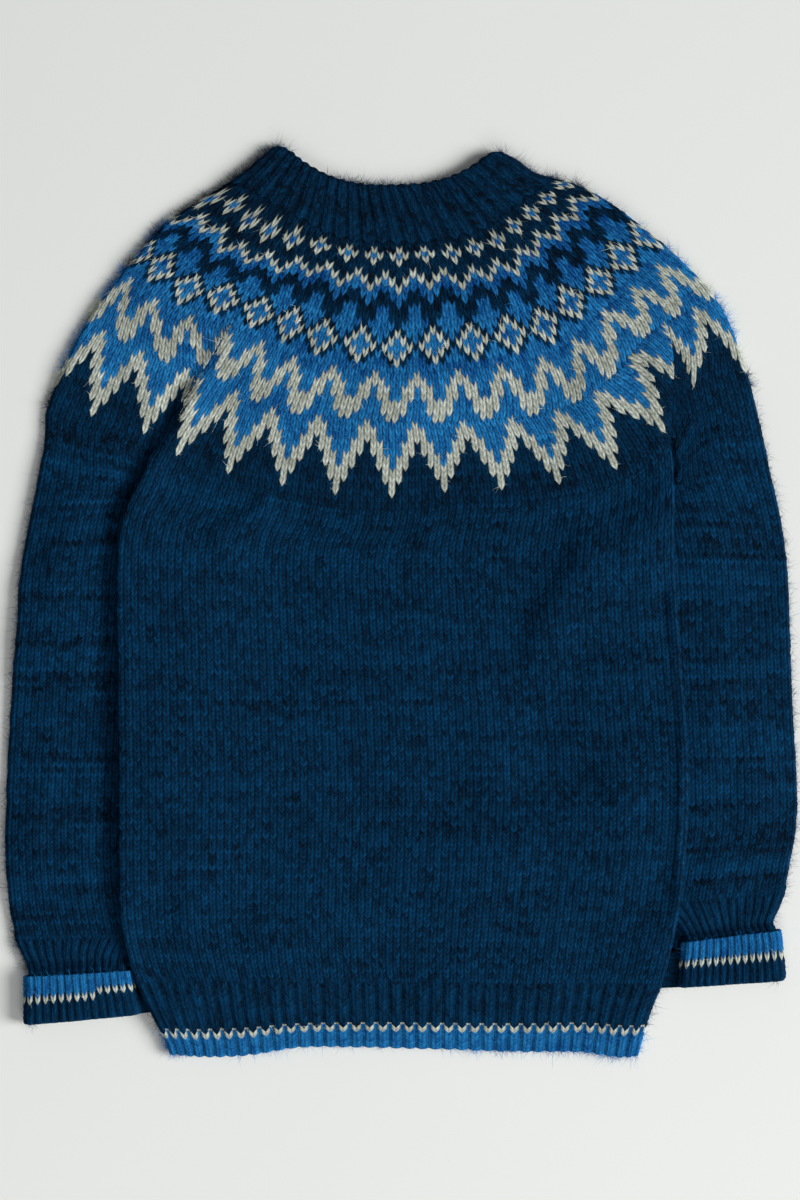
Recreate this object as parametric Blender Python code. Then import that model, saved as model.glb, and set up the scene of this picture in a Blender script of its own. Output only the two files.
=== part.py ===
"""Hand-knit sweater with a round patterned yoke, laid flat on its back.

The garment is knitted in the round, so every piece is a flattened tube of cloth: a top layer
and a bottom layer that lie on each other and meet in a rounded fold at both side edges.
Metres, +Z up, the floor is z = 0, the neck points to +Y and the hem to -Y.
The outlines below are read from the picture, in its pixels of 800 by 1200, and are brought to
real size by the width of the garment.
"""

import bpy
import numpy as np

# Driving sizes, in metres
GARMENT_WIDTH = 0.617
WALL = 0.0030
LAYER_GAP = 0.0006
SEAM_GAP = 0.00035
RIB_HEIGHT = 0.0009
BODY_LIFT = 0.0081
TURN_GAP = 0.0003
CREASE_PUFF = 0.0030

# The same width and the middle of the garment in the picture, in pixels
PICTURE_WIDTH = 791.0
PICTURE_MIDDLE = (401.0, 600.9)
PIXEL = GARMENT_WIDTH / PICTURE_WIDTH

# Half the gap between the layers, and the outer radius of a side fold
INNER_RADIUS = LAYER_GAP / 2
FOLD_RADIUS = INNER_RADIUS + WALL

# Numbers of columns and ribs across the pieces
YOKE_SIDE_COLUMNS = 8
BODY_COLUMNS = 22
NECK_RIBS = 24
HEM_RIBS = 39
CUFF_RIBS = 13

# Yoke rows from the join up to the neckband. A repeat is one tooth of the pattern, and
# repeat 0 is the one at the middle of the front.
# Each row: stitch row, repeats hidden in the left crease, in the right crease,
# then (repeat, x, y) for the places that show
YOKE_ROWS = (
    (-2.0, 1.30, 1.00, (
        (-7.8, 46, 412), (-7, 87, 428), (-6, 139, 446), (-4, 171, 469), (-3, 225, 487),
        (-2, 280, 499), (-1, 335, 508), (0, 391.6, 511.5), (1, 446, 505.5), (2, 503, 503),
        (3, 562, 498), (4, 621, 482), (5, 671, 444), (7, 696, 400), (8, 751, 386))),
    (0.0, 1.26, 1.00, (
        (-7.8, 50, 400), (-7, 92, 415), (-6, 144, 433), (-4, 177, 455), (-3, 228, 473),
        (-2, 282, 485), (-1, 335.5, 494), (0, 391.6, 497.5), (1, 445, 491.5), (2, 502, 489),
        (3, 559, 484), (4, 616, 469), (5, 664, 432), (7, 693, 386), (8, 746, 372))),
    (11.0, 0.73, 0.05, (
        (-8, 88, 321), (-7, 122, 342), (-6, 164, 362), (-4, 221, 380), (-3, 254, 402),
        (-2, 295, 414), (-1, 343, 418), (0, 391, 423), (1, 438, 423), (2, 486, 420),
        (3, 533, 416), (4, 577, 403), (5, 612, 377), (6, 645, 338), (7, 677, 317),
        (8.1, 715, 298))),
    (21.5, 0.0, 0.0, (
        (-8.1, 141, 251), (-7, 161, 268), (-6, 188, 290), (-5, 222, 298), (-4, 259, 313),
        (-3, 290, 325), (-2, 321, 338), (-1, 360, 345), (0, 397, 350), (1, 434, 346),
        (2, 472, 343), (3, 511, 335), (4, 545, 327), (5, 571, 303), (6, 600, 283),
        (7, 623, 258), (8.15, 649, 233))),
    (34.5, 0.0, 0.0, (
        (-8.3, 201, 199), (-7, 233.5, 206), (-6, 249, 221), (-5, 269, 232), (-4, 293, 240),
        (-3, 320, 246), (-2, 348, 254), (-1, 374, 256.5), (0, 399, 258), (1, 425, 255),
        (2, 453, 255), (3, 475, 248.5), (4, 498, 242), (5, 514.5, 227), (6, 532, 214),
        (7, 548, 199), (8.2, 568, 182))),
    (37.0, 0.0, 0.0, (
        (-8.4, 230, 182), (-7, 251, 192), (-6, 268, 202), (-5, 284, 211), (-4, 303, 221),
        (-3, 326, 234), (-2, 350, 241), (-1, 375, 243.5), (0, 399, 244), (1, 422, 243.5),
        (2, 446, 240.5), (3, 468, 235.5), (4, 488, 227), (5, 504, 216), (6, 520, 204),
        (7, 536, 192), (8.3, 553, 179))),
)
LEFT_CREASE = -4.45
# Repeats from this number on lie beyond the right crease
RIGHT_OF_CREASE = 5.5
# Right crease: (stitch row, repeat); it crosses the columns on its way up
RIGHT_CREASE = ((-2.0, 5.0), (11.0, 6.6), (37.0, 5.9))
YOKE_STATIONS = (-2.0, 1.0, 4.5, 8.0, 11.5, 15.0, 18.5, 22.0, 25.5, 29.5, 33.5, 37.0)

# Upper edge of the neckband: (share of the width from left to right, x, y)
NECK_TOP = (
    (0.00, 277, 145), (0.06, 287, 149), (0.16, 304, 162), (0.28, 328, 175), (0.42, 360, 183.5),
    (0.55, 391, 185), (0.70, 430, 182), (0.82, 458, 173.5), (0.91, 478, 162), (0.96, 489, 154),
    (1.00, 498, 151))
# Neckband side folds between base and top: (share of the height, left x, y, right x, y)
NECK_SIDES = (
    (0.0, 230, 182, 553, 179), (0.4, 248, 170, 532, 173), (0.75, 264, 156, 513, 160),
    (1.0, 277, 145, 498, 151))

# Body side folds below the join: (left x, y, right x, y)
BODY_SIDES = (
    (149.5, 454, 671, 444), (144, 469, 672.5, 458), (138, 484, 673, 474),
    (130, 500, 673, 494), (123, 519, 672.5, 520), (118.5, 546, 672.5, 552),
    (117, 590, 675, 592), (117.5, 650, 679, 650), (118, 715, 684, 715),
    (119, 775, 687.5, 775), (119, 840, 686, 835), (119.5, 900, 680, 895),
    (122.5, 933, 674, 932), (130, 964, 666.5, 966), (137, 982, 661, 985))

# Side folds of the hem ribbing: (left x, y, right x, y)
HEM_SIDES = (
    (137, 982, 661, 985), (152, 1012, 650, 1010), (165, 1037, 642, 1034), (172, 1054, 636, 1056))
# Lower edge of the hem against a straight line: (share of the width, rise in pixels)
HEM_WAVE = ((0.0, 0), (0.1, -2), (0.2, 0), (0.29, 7), (0.42, 8.5), (0.55, 7), (0.75, 4),
            (0.88, 3.5), (0.95, -1), (1.0, 0))

# Sleeves: (outer fold x, y, inner fold x, y); the inner fold lies under the body
LEFT_SLEEVE = (
    (46, 412, 148, 454), (45, 438, 142.5, 468), (41.5, 462, 136, 481), (37, 487, 131, 493),
    (32, 511, 130.5, 506), (27.5, 533, 135, 526), (23, 557, 144, 550), (19.5, 585, 155, 580),
    (17.5, 622, 162, 620), (13.5, 670, 163, 670), (10, 725, 163, 725), (7, 790, 161, 788),
    (6, 850, 157.5, 846), (9, 900, 152, 895), (16.5, 941, 140, 938))
RIGHT_SLEEVE = (
    (751, 386, 672, 444), (757.5, 413, 674.5, 458), (764, 441, 675.5, 469),
    (770, 470, 672, 483), (777, 502, 665, 502), (783.5, 536, 655, 533),
    (788, 583, 647, 580), (790, 646, 643, 645),
    (792.5, 712, 643, 715), (796, 776, 645, 780), (796, 822, 649, 830), (790, 860, 656, 872),
    (784, 893, 663, 905))

# Ribbed sleeve ends up to the fold of the cuff: (outer fold x, y, inner fold x, y)
LEFT_CUFF = (
    (16.5, 941, 140, 938), (23, 955, 130, 951), (28, 966, 127, 960), (29.5, 980, 127.5, 974),
    (29.5, 1020, 136, 1010))
RIGHT_CUFF = (
    (784, 893, 663, 905), (777, 910, 675, 920), (772, 922, 684, 933), (775.5, 934, 686, 945),
    (780, 976, 682, 983))
# Place of the upper edge of the turned part, and of its rounding, counted in those rows
TURN_TOP = 2.8
TURN_ROUNDING = 0.1
# How far the thick cast-off edge stands past the middle of the turned wall
CAST_OFF = 0.0006

# The body's side folds are lifted by the sleeves between these heights in the picture:
# (y where the lift starts, y where it is full, y where it starts to fall, y where it ends)
LEFT_LIFT = (454, 486, 960, 1040)
RIGHT_LIFT = (444, 474, 920, 1012)
LIFT_MARGIN = 17.0
LIFT_RAMP = 36.0

# Armhole creases: (x, y, share of the puff), from the yoke to below the underarm
LEFT_VALLEY = ((205, 345, 0.0), (193, 368, 0.35), (174, 405, 0.8), (149, 454, 1.0),
               (127, 503, 0.4), (119, 540, 0.0))
RIGHT_VALLEY = ((668, 322, 0.0), (672, 345, 0.35), (673.5, 380, 0.8), (672, 444, 1.0),
                (671, 500, 0.4), (672, 545, 0.0))
VALLEY_SPREAD = 13.0

# The bow of the join fades out of the rows below it over so many rows of the tables
BODY_BOW_ROWS = 8.0
SLEEVE_BOW_ROWS = 6.0
# Share of the columns' spacing that is even; the rest crowds towards the side folds
EVEN_SHARE = 0.45

# Colours, linear, for the plain solids
NAVY = (0.006, 0.028, 0.075)
ROYAL = (0.010, 0.090, 0.360)
WOOL_ROUGHNESS = 0.92


def smooth_curve(knots, values, places):
    """Cubic curve through the values, whose slope at a knot is that of its neighbours."""
    knots = np.asarray(knots, float)
    values = np.asarray(values, float)
    slopes = np.gradient(values, knots, axis=0)
    index = np.clip(np.searchsorted(knots, places) - 1, 0, len(knots) - 2)
    span = knots[index + 1] - knots[index]
    share = (np.asarray(places, float) - knots[index]) / span
    if values.ndim > 1:
        share = share[:, None]
        span = span[:, None]
    start = values[index] * (1 + 2 * share) * (1 - share) ** 2
    end = values[index + 1] * share**2 * (3 - 2 * share)
    leave = slopes[index] * span * share * (1 - share) ** 2
    arrive = slopes[index + 1] * span * share**2 * (share - 1)
    return start + end + leave + arrive


def soft_step(amount):
    """0 below 0, 1 above 1, and a smooth ramp between."""
    amount = np.clip(amount, 0.0, 1.0)
    return amount * amount * (3 - 2 * amount)


def to_plan(pixels):
    """Picture pixels to metres on the floor, with the garment's middle at the origin."""
    pixels = np.asarray(pixels, float)
    x = (pixels[..., 0] - PICTURE_MIDDLE[0]) * PIXEL
    y = (PICTURE_MIDDLE[1] - pixels[..., 1]) * PIXEL
    return np.stack([x, y], axis=-1)


def edge_point(table, column, station):
    """A place on a side fold: the table's x and y from this column on, at a station number."""
    table = np.asarray(table, float)
    return smooth_curve(np.arange(len(table)), table[:, column:column + 2], [station])[0]


def side_lift(pixels):
    """How far the body is raised by the sleeves under its side edges, in metres."""
    x = pixels[:, 0]
    y = pixels[:, 1]
    lift = np.zeros(len(pixels))
    for table, span, side in ((LEFT_SLEEVE, LEFT_LIFT, 1), (RIGHT_SLEEVE, RIGHT_LIFT, -1)):
        inner = np.array([row[2:] for row in table])
        inner_x = np.interp(y, inner[:, 1], inner[:, 0])
        reach = side * (inner_x - x) + LIFT_MARGIN + LIFT_RAMP
        rise = soft_step((y - span[0]) / (span[1] - span[0]))
        fall = soft_step((span[3] - y) / (span[3] - span[2]))
        lift = np.maximum(lift, BODY_LIFT * rise * fall * soft_step(reach / LIFT_RAMP))
    return lift


def valley_puff(pixels):
    """The top layer stands up on both sides of an armhole crease and sinks into it."""
    puff = np.zeros(len(pixels))
    for table, body_side in ((LEFT_VALLEY, 1), (RIGHT_VALLEY, -1)):
        table = np.array(table)
        crease_x = np.interp(pixels[:, 1], table[:, 1], table[:, 0])
        strength = np.interp(pixels[:, 1], table[:, 1], table[:, 2], left=0.0, right=0.0)
        away = body_side * (pixels[:, 0] - crease_x) / VALLEY_SPREAD
        puff += strength * (np.exp(-(away - 1.1) ** 2) + 0.5 * np.exp(-(away + 1.2) ** 2))
    return CREASE_PUFF * puff


def columns_between(row, left, right, count):
    """Trim a row of picture points to the fold centres and give evenly spaced columns."""
    row = np.asarray(row, float)
    steps = np.linalg.norm(np.diff(row, axis=0), axis=1)
    along = np.concatenate([[0.0], np.cumsum(steps)])
    places = np.linspace(left, along[-1] - right, count)
    return np.stack([np.interp(places, along, row[:, 0]), np.interp(places, along, row[:, 1])], 1)


def ring(row, middle, puff, radius, ribs=None, bottom_step=1):
    """One closed loop round a flattened tube.

    The row holds the columns from one fold centre to the other. The top runs above them at the
    radius, the bottom below them, and a half circle of that radius turns round each end.
    """
    plan = to_plan(row)
    top_z = middle + radius + puff
    if ribs is not None:
        top_z = top_z + ribs
    top = np.column_stack([plan, top_z])
    chosen = np.unique(np.append(np.arange(0, len(plan), bottom_step), len(plan) - 1))
    bottom = np.column_stack([plan, middle - radius])[chosen][::-1]
    turns = []
    for end, inner in ((len(plan) - 1, len(plan) - 2), (0, 1)):
        out = plan[end] - plan[inner]
        out = out / np.linalg.norm(out)
        angles = np.radians((45.0, 0.0, -45.0))
        turn = np.column_stack([
            plan[end][0] + out[0] * radius * np.cos(angles),
            plan[end][1] + out[1] * radius * np.cos(angles),
            middle[end] + radius * np.sin(angles)])
        turns.append(turn)
    return np.concatenate([top, turns[0], bottom, turns[1][::-1]])


def wool(name, colour):
    """A plain matt wool finish."""
    material = bpy.data.materials.new(name)
    material.use_nodes = True
    shader = material.node_tree.nodes["Principled BSDF"]
    shader.inputs["Base Color"].default_value = (*colour, 1.0)
    shader.inputs["Roughness"].default_value = WOOL_ROUGHNESS
    shader.inputs["Metallic"].default_value = 0.0
    material.diffuse_color = (*colour, 1.0)
    return material


def solid_from_loops(name, loops, colour, top_count):
    """Join closed loops, each to the next and the last to the first, into one closed wall.

    The quads of the bottom layer are cut along the other diagonal, so that the two layers,
    which run round the loop in opposite directions, bend along the same lines.
    """
    loops = np.asarray(loops)
    count, around = loops.shape[:2]
    first = np.arange(count)[:, None] * around
    following = np.roll(first, -1, axis=0)
    here = np.arange(around)[None, :]
    after = np.roll(here, -1, axis=1)
    quads = np.stack([first + here, first + after, following + after, following + here], -1)
    points = loops.reshape(-1, 3)
    quads = quads.reshape(-1, 4)
    a, b, c, d = (points[quads[:, k]] for k in range(4))
    volume = (a * (np.cross(b, c) + np.cross(c, d))).sum()
    if volume < 0:
        quads = quads[:, [1, 0, 3, 2]]
    on_top = np.tile(np.arange(around) < top_count - 1, count)
    triangles = np.concatenate([
        quads[on_top][:, [0, 1, 2]], quads[on_top][:, [0, 2, 3]],
        quads[~on_top][:, [0, 1, 3]], quads[~on_top][:, [1, 2, 3]]])
    mesh = bpy.data.meshes.new(name)
    mesh.from_pydata(points.tolist(), [], triangles.tolist())
    mesh.shade_smooth()
    mesh.update()
    mesh.materials.append(wool(name + "_wool", colour))
    thing = bpy.data.objects.new(name, mesh)
    bpy.context.collection.objects.link(thing)
    return thing


def tube_solid(name, rows, colour, lifted=False, ribbed=False, bottom_step=1):
    """A flattened tube through its rows: the outer wall down, the inner wall back up."""
    outer = []
    inner = []
    for row in rows:
        lift = side_lift(row) if lifted else np.zeros(len(row))
        middle = lift + FOLD_RADIUS
        puff = valley_puff(row)
        ribs = rib_heights(len(row)) if ribbed else None
        outer.append(ring(row, middle, puff, FOLD_RADIUS, ribs, bottom_step))
        inner.append(ring(row, middle, puff, INNER_RADIUS, None, bottom_step))
    return solid_from_loops(name, outer + inner[::-1], colour, len(rows[0]))


def rib_heights(count):
    """Every second column of a ribbed piece is raised, but for the first and last."""
    heights = np.where(np.arange(count) % 2 == 1, RIB_HEIGHT, 0.0)
    heights[0] = 0.0
    heights[-1] = 0.0
    return heights


def yoke_row(table_row, places):
    """Picture points of one yoke row at visible repeat numbers."""
    _, hidden_left, hidden_right, points = table_row
    points = np.array(points, float)
    visible = points[:, 0].copy()
    visible[points[:, 0] < LEFT_CREASE] += hidden_left
    visible[points[:, 0] > RIGHT_OF_CREASE] -= hidden_right
    return smooth_curve(visible, points[:, 1:], places), visible[0], visible[-1]


def yoke_columns():
    """Picture points of the yoke: a curve up the yoke for each column, read at each station."""
    crease = np.array(RIGHT_CREASE)
    control = []
    for table_row in YOKE_ROWS:
        _, first, last = yoke_row(table_row, np.array([0.0]))
        right = np.interp(table_row[0], crease[:, 0], crease[:, 1])
        groups = (
            np.linspace(first, LEFT_CREASE, YOKE_SIDE_COLUMNS),
            (LEFT_CREASE + (right - LEFT_CREASE) * spread(BODY_COLUMNS))[1:-1],
            np.linspace(right, last, YOKE_SIDE_COLUMNS))
        places = np.concatenate(groups)
        control.append(yoke_row(table_row, places)[0])
    control = np.array(control)
    rows = [row[0] for row in YOKE_ROWS]
    flat = smooth_curve(rows, control.reshape(len(rows), -1), np.array(YOKE_STATIONS))
    return flat.reshape(len(YOKE_STATIONS), -1, 2)


def trimmed(row, start=FOLD_RADIUS, end=FOLD_RADIUS):
    """Pull the two ends of a row in by the fold radius, so its folds reach the outline."""
    row = row.copy()
    for end_index, inner_index, inset in ((0, 1, start), (-1, -2, end)):
        inward = row[inner_index] - row[end_index]
        inward = inward / np.linalg.norm(inward)
        row[end_index] = row[end_index] + inward * inset / PIXEL
    return row


def spread(count):
    """Shares from 0 to 1 that lie closer together near both ends."""
    even = np.linspace(0.0, 1.0, count)
    return EVEN_SHARE * even + (1 - EVEN_SHARE) * (0.5 - 0.5 * np.cos(np.pi * even))


def hanging_row(left, right, top_row, share, across):
    """A row between two side folds that keeps a share of the bow of the row it hangs from."""
    across = across[:, None]
    straight = left * (1 - across) + right * across
    bow = top_row - (top_row[0] * (1 - across) + top_row[-1] * across)
    return straight + bow * share


def moved(row, x=0.0, y=0.0):
    """A row moved by metres on the floor; y points to the neck."""
    return row + np.array([x, -y]) / PIXEL


def make_yoke(rows):
    tube_solid("yoke", [trimmed(row) for row in rows], ROYAL)


def make_body(join):
    """The body tube, from the join down to the ribbing."""
    top = join[YOKE_SIDE_COLUMNS - 1:YOKE_SIDE_COLUMNS + BODY_COLUMNS - 1]
    rows = []
    for station, sides in enumerate(BODY_SIDES):
        left = np.array(sides[:2], float)
        right = np.array(sides[2:], float)
        fade = 1 - soft_step(station / BODY_BOW_ROWS)
        rows.append(hanging_row(left, right, top, fade, spread(BODY_COLUMNS)))
    rows[0] = moved(rows[0], y=-SEAM_GAP)
    tube_solid("body", [trimmed(row) for row in rows], NAVY, lifted=True)


def make_hem():
    """Ribbing below the body, drawn in, with a wavy lower edge."""
    count = 2 * HEM_RIBS + 1
    across = np.linspace(0.0, 1.0, count)
    wave = np.array(HEM_WAVE)
    rise = smooth_curve(wave[:, 0], wave[:, 1], across)
    rows = []
    for station, sides in enumerate(HEM_SIDES):
        left = np.array(sides[:2], float)
        right = np.array(sides[2:], float)
        row = left * (1 - across[:, None]) + right * across[:, None]
        row[:, 1] -= rise * station / (len(HEM_SIDES) - 1)
        rows.append(row)
    rows[0] = moved(rows[0], y=-SEAM_GAP)
    rows = [columns_between(row, FOLD_RADIUS / PIXEL, FOLD_RADIUS / PIXEL, count) for row in rows]
    tube_solid("hem_rib", rows, NAVY, lifted=True, ribbed=True)


def make_neckband(base):
    """Ribbing above the yoke: the flattened cone gives its upper edge a hollow curve."""
    count = 2 * NECK_RIBS + 1
    across = np.linspace(0.0, 1.0, count)
    base = columns_between(base, 0.0, 0.0, count)
    top_table = np.array(NECK_TOP)
    top = smooth_curve(top_table[:, 0], top_table[:, 1:], across)
    sides = np.array(NECK_SIDES)
    rows = []
    for share in (0.0, 0.35, 0.7, 1.0):
        row = base * (1 - share) + top * share
        edges = smooth_curve(sides[:, 0], sides[:, 1:], np.array([share]))[0]
        pull = np.abs(2 * across[:, None] - 1) ** 6
        left_shift = edges[:2] - row[0]
        right_shift = edges[2:] - row[-1]
        shift = np.where(across[:, None] < 0.5, left_shift, right_shift)
        rows.append(row + pull * shift)
    rows[0] = moved(rows[0], y=2 * SEAM_GAP)
    rows = [columns_between(row, FOLD_RADIUS / PIXEL, FOLD_RADIUS / PIXEL, count) for row in rows]
    tube_solid("neckband", rows, NAVY, ribbed=True, bottom_step=2)


def make_sleeve(name, table, join, outer_first, shift):
    """A sleeve tube from the join to its ribbing, flat on the floor."""
    top = join if outer_first else join[::-1]
    across = np.linspace(0.0, 1.0, YOKE_SIDE_COLUMNS)
    rows = []
    for station, sides in enumerate(table):
        outer = np.array(sides[:2], float)
        inner = np.array(sides[2:], float)
        fade = 1 - soft_step(station / SLEEVE_BOW_ROWS)
        rows.append(hanging_row(outer, inner, top, fade, across))
    rows[0] = moved(rows[0], *shift)
    tube_solid(name, [trimmed(row) for row in rows], NAVY)


def make_cuff(name, table):
    """Ribbed sleeve end that is turned up: one wall, folded back over itself.

    The wall is followed down the inside, round the fold, up the turned part, over its
    cast-off edge and back down and up through the narrow gap between the two.
    """
    count = 2 * CUFF_RIBS + 1
    last = len(table) - 1
    turned_inner = INNER_RADIUS + WALL + TURN_GAP
    turned_outer = turned_inner + WALL
    fold_reach = (turned_outer - INNER_RADIUS) / 2
    fold_middle = (turned_outer + INNER_RADIUS) / 2
    gap_middle = INNER_RADIUS + WALL + TURN_GAP / 2
    path = [(station, 0.0, INNER_RADIUS, 0) for station in (0.0, 1.0, 2.0, TURN_TOP, last)]
    for angle in np.radians((-40.0, 0.0, 40.0)):
        radius = fold_middle + fold_reach * np.sin(angle)
        path.append((last, fold_reach * np.cos(angle), radius, 0))
    path += [(last, 0.0, turned_outer, 1), (TURN_TOP + TURN_ROUNDING, 0.0, turned_outer, 1),
             (TURN_TOP, 0.0, (turned_inner + turned_outer) / 2 + CAST_OFF, 0),
             (TURN_TOP + TURN_ROUNDING, 0.0, turned_inner, 0),
             (last, 0.0, turned_inner, 0), (last, TURN_GAP / 2, gap_middle, 0),
             (last, 0.0, FOLD_RADIUS, 0), (TURN_TOP, 0.0, FOLD_RADIUS, 0),
             (2.0, 0.0, FOLD_RADIUS, 1), (1.0, 0.0, FOLD_RADIUS, 1), (0.0, 0.0, FOLD_RADIUS, 1)]
    loops = []
    for station, beyond, radius, ribbed in path:
        outer = edge_point(table, 0, station)
        inner = edge_point(table, 2, station)
        down = edge_point(table, 0, last) - edge_point(table, 0, last - 1)
        down = down / np.linalg.norm(down)
        across = np.linspace(0.0, 1.0, count)[:, None]
        row = outer * (1 - across) + inner * across + down * beyond / PIXEL
        row = columns_between(row, FOLD_RADIUS / PIXEL, FOLD_RADIUS / PIXEL, count)
        if station == 0.0:
            row = moved(row, y=-SEAM_GAP)
        rise = (WALL + TURN_GAP) * soft_step((station - 1.9) / 0.8)
        middle = np.full(count, FOLD_RADIUS + rise)
        ribs = rib_heights(count) if ribbed else None
        loops.append(ring(row, middle, np.zeros(count), radius, ribs, bottom_step=5))
    return solid_from_loops(name, loops, NAVY, count)


def main():
    for thing in list(bpy.data.objects):
        bpy.data.objects.remove(thing)
    yoke = yoke_columns()
    join = yoke[0]
    make_yoke(yoke)
    make_neckband(yoke[-1])
    make_body(join)
    make_hem()
    make_sleeve("sleeve_left", LEFT_SLEEVE, join[:YOKE_SIDE_COLUMNS], True,
                (-0.0001, -SEAM_GAP))
    make_sleeve("sleeve_right", RIGHT_SLEEVE, join[-YOKE_SIDE_COLUMNS:], False,
                (SEAM_GAP, -SEAM_GAP))
    make_cuff("cuff_left", LEFT_CUFF)
    make_cuff("cuff_right", RIGHT_CUFF)


main()
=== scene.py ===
"""Looks of a hand-knit sweater with a round patterned yoke, laid flat on its back.

Each piece is a flattened tube of knitting, drawn as one thin surface on the form of its solid.
Its mesh lines follow the stitches: the columns run up the knitting, the lines across it zigzag
with the slanting legs of the stitches, and the legs stand up from the grooves between them.
Metres, +Z up, the floor is z = 0, the neck points to +Y and the hem to -Y. The outlines are
read from the picture, in its pixels of 800 by 1200, as in the solids.
"""

import bpy
import mathutils
import numpy as np
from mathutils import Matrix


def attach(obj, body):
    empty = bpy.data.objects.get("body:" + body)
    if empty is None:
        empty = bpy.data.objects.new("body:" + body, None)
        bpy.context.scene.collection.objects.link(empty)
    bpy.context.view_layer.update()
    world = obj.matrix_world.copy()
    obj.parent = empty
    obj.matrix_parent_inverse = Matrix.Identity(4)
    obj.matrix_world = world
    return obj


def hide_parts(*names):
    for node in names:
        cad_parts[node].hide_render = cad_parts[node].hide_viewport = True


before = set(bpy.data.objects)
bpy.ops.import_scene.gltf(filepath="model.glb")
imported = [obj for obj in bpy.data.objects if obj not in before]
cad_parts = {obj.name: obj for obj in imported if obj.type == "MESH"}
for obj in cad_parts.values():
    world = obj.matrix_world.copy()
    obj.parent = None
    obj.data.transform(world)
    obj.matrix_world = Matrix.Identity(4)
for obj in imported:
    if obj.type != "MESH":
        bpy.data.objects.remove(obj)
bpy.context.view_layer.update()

# Driving sizes of the solids, in metres
GARMENT_WIDTH = 0.617
WALL = 0.0030
LAYER_GAP = 0.0006
BODY_LIFT = 0.0081
TURN_GAP = 0.0003
CREASE_PUFF = 0.0030

# Size of the picture, and the garment's width and middle in it, in pixels
PICTURE_SIZE = (800.0, 1200.0)
PICTURE_WIDTH = 791.0
PICTURE_MIDDLE = (401.0, 600.9)
PIXEL = GARMENT_WIDTH / PICTURE_WIDTH
INNER_RADIUS = LAYER_GAP / 2
FOLD_RADIUS = INNER_RADIUS + WALL

# Yoke rows from the join up to the neckband. A repeat is one tooth of the pattern.
# Each row: stitch row, repeats hidden in the left crease, in the right crease,
# then (repeat, x, y) for the places that show
YOKE_ROWS = (
    (-2.0, 1.30, 1.00, (
        (-7.8, 46, 412), (-7, 87, 428), (-6, 139, 446), (-4, 171, 469), (-3, 225, 487),
        (-2, 280, 499), (-1, 335, 508), (0, 391.6, 511.5), (1, 446, 505.5), (2, 503, 503),
        (3, 562, 498), (4, 621, 482), (5, 671, 444), (7, 696, 400), (8, 751, 386))),
    (0.0, 1.26, 1.00, (
        (-7.8, 50, 400), (-7, 92, 415), (-6, 144, 433), (-4, 177, 455), (-3, 228, 473),
        (-2, 282, 485), (-1, 335.5, 494), (0, 391.6, 497.5), (1, 445, 491.5), (2, 502, 489),
        (3, 559, 484), (4, 616, 469), (5, 664, 432), (7, 693, 386), (8, 746, 372))),
    (11.0, 0.73, 0.05, (
        (-8, 88, 321), (-7, 122, 342), (-6, 164, 362), (-4, 221, 380), (-3, 254, 402),
        (-2, 295, 414), (-1, 343, 418), (0, 391, 423), (1, 438, 423), (2, 486, 420),
        (3, 533, 416), (4, 577, 403), (5, 612, 377), (6, 645, 338), (7, 677, 317),
        (8.1, 715, 298))),
    (21.5, 0.0, 0.0, (
        (-8.1, 141, 251), (-7, 161, 268), (-6, 188, 290), (-5, 222, 298), (-4, 259, 313),
        (-3, 290, 325), (-2, 321, 338), (-1, 360, 345), (0, 397, 350), (1, 434, 346),
        (2, 472, 343), (3, 511, 335), (4, 545, 327), (5, 571, 303), (6, 600, 283),
        (7, 623, 258), (8.15, 649, 233))),
    (34.5, 0.0, 0.0, (
        (-8.3, 201, 199), (-7, 233.5, 206), (-6, 249, 221), (-5, 269, 232), (-4, 293, 240),
        (-3, 320, 246), (-2, 348, 254), (-1, 374, 256.5), (0, 399, 258), (1, 425, 255),
        (2, 453, 255), (3, 475, 248.5), (4, 498, 242), (5, 514.5, 227), (6, 532, 214),
        (7, 548, 199), (8.2, 568, 182))),
    (37.0, 0.0, 0.0, (
        (-8.4, 230, 182), (-7, 251, 192), (-6, 268, 202), (-5, 284, 211), (-4, 303, 221),
        (-3, 326, 234), (-2, 350, 241), (-1, 375, 243.5), (0, 399, 244), (1, 422, 243.5),
        (2, 446, 240.5), (3, 468, 235.5), (4, 488, 227), (5, 504, 216), (6, 520, 204),
        (7, 536, 192), (8.3, 553, 179))),
)
LEFT_CREASE = -4.45
RIGHT_OF_CREASE = 5.5
RIGHT_CREASE = ((-2.0, 5.0), (11.0, 6.6), (37.0, 5.9))
# Repeats of the pattern that lie hidden in the armhole creases: (stitch row, left, right)
HIDDEN = ((-2.0, 1.30, 1.0), (0.0, 1.26, 1.0), (5.0, 1.02, 0.5), (11.0, 0.73, 0.05),
          (14.0, 0.44, 0.0), (17.0, 0.15, 0.0), (21.5, 0.0, 0.0))
LEAST_HIDDEN = 0.05
JOIN_ROW = -2.0
NECK_ROW = 37.0
REPEATS_ROUND = 32
# Repeats on each side of the middle with fine columns
YOKE_HALF_REPEATS = 8.75

NECK_TOP = (
    (0.00, 275, 149), (0.025, 279.5, 146.5), (0.06, 287, 149.5), (0.16, 304, 162),
    (0.28, 328, 175), (0.42, 360, 183.5), (0.55, 391, 185), (0.70, 430, 182),
    (0.82, 458, 173.5), (0.91, 478, 162), (0.96, 489, 154.5), (0.98, 495, 152.5),
    (1.00, 500, 155))
NECK_SIDES = (
    (0.0, 230, 182, 553, 179), (0.4, 248, 170, 532, 173), (0.75, 264, 157, 514, 161),
    (1.0, 275, 149, 500, 155))

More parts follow.
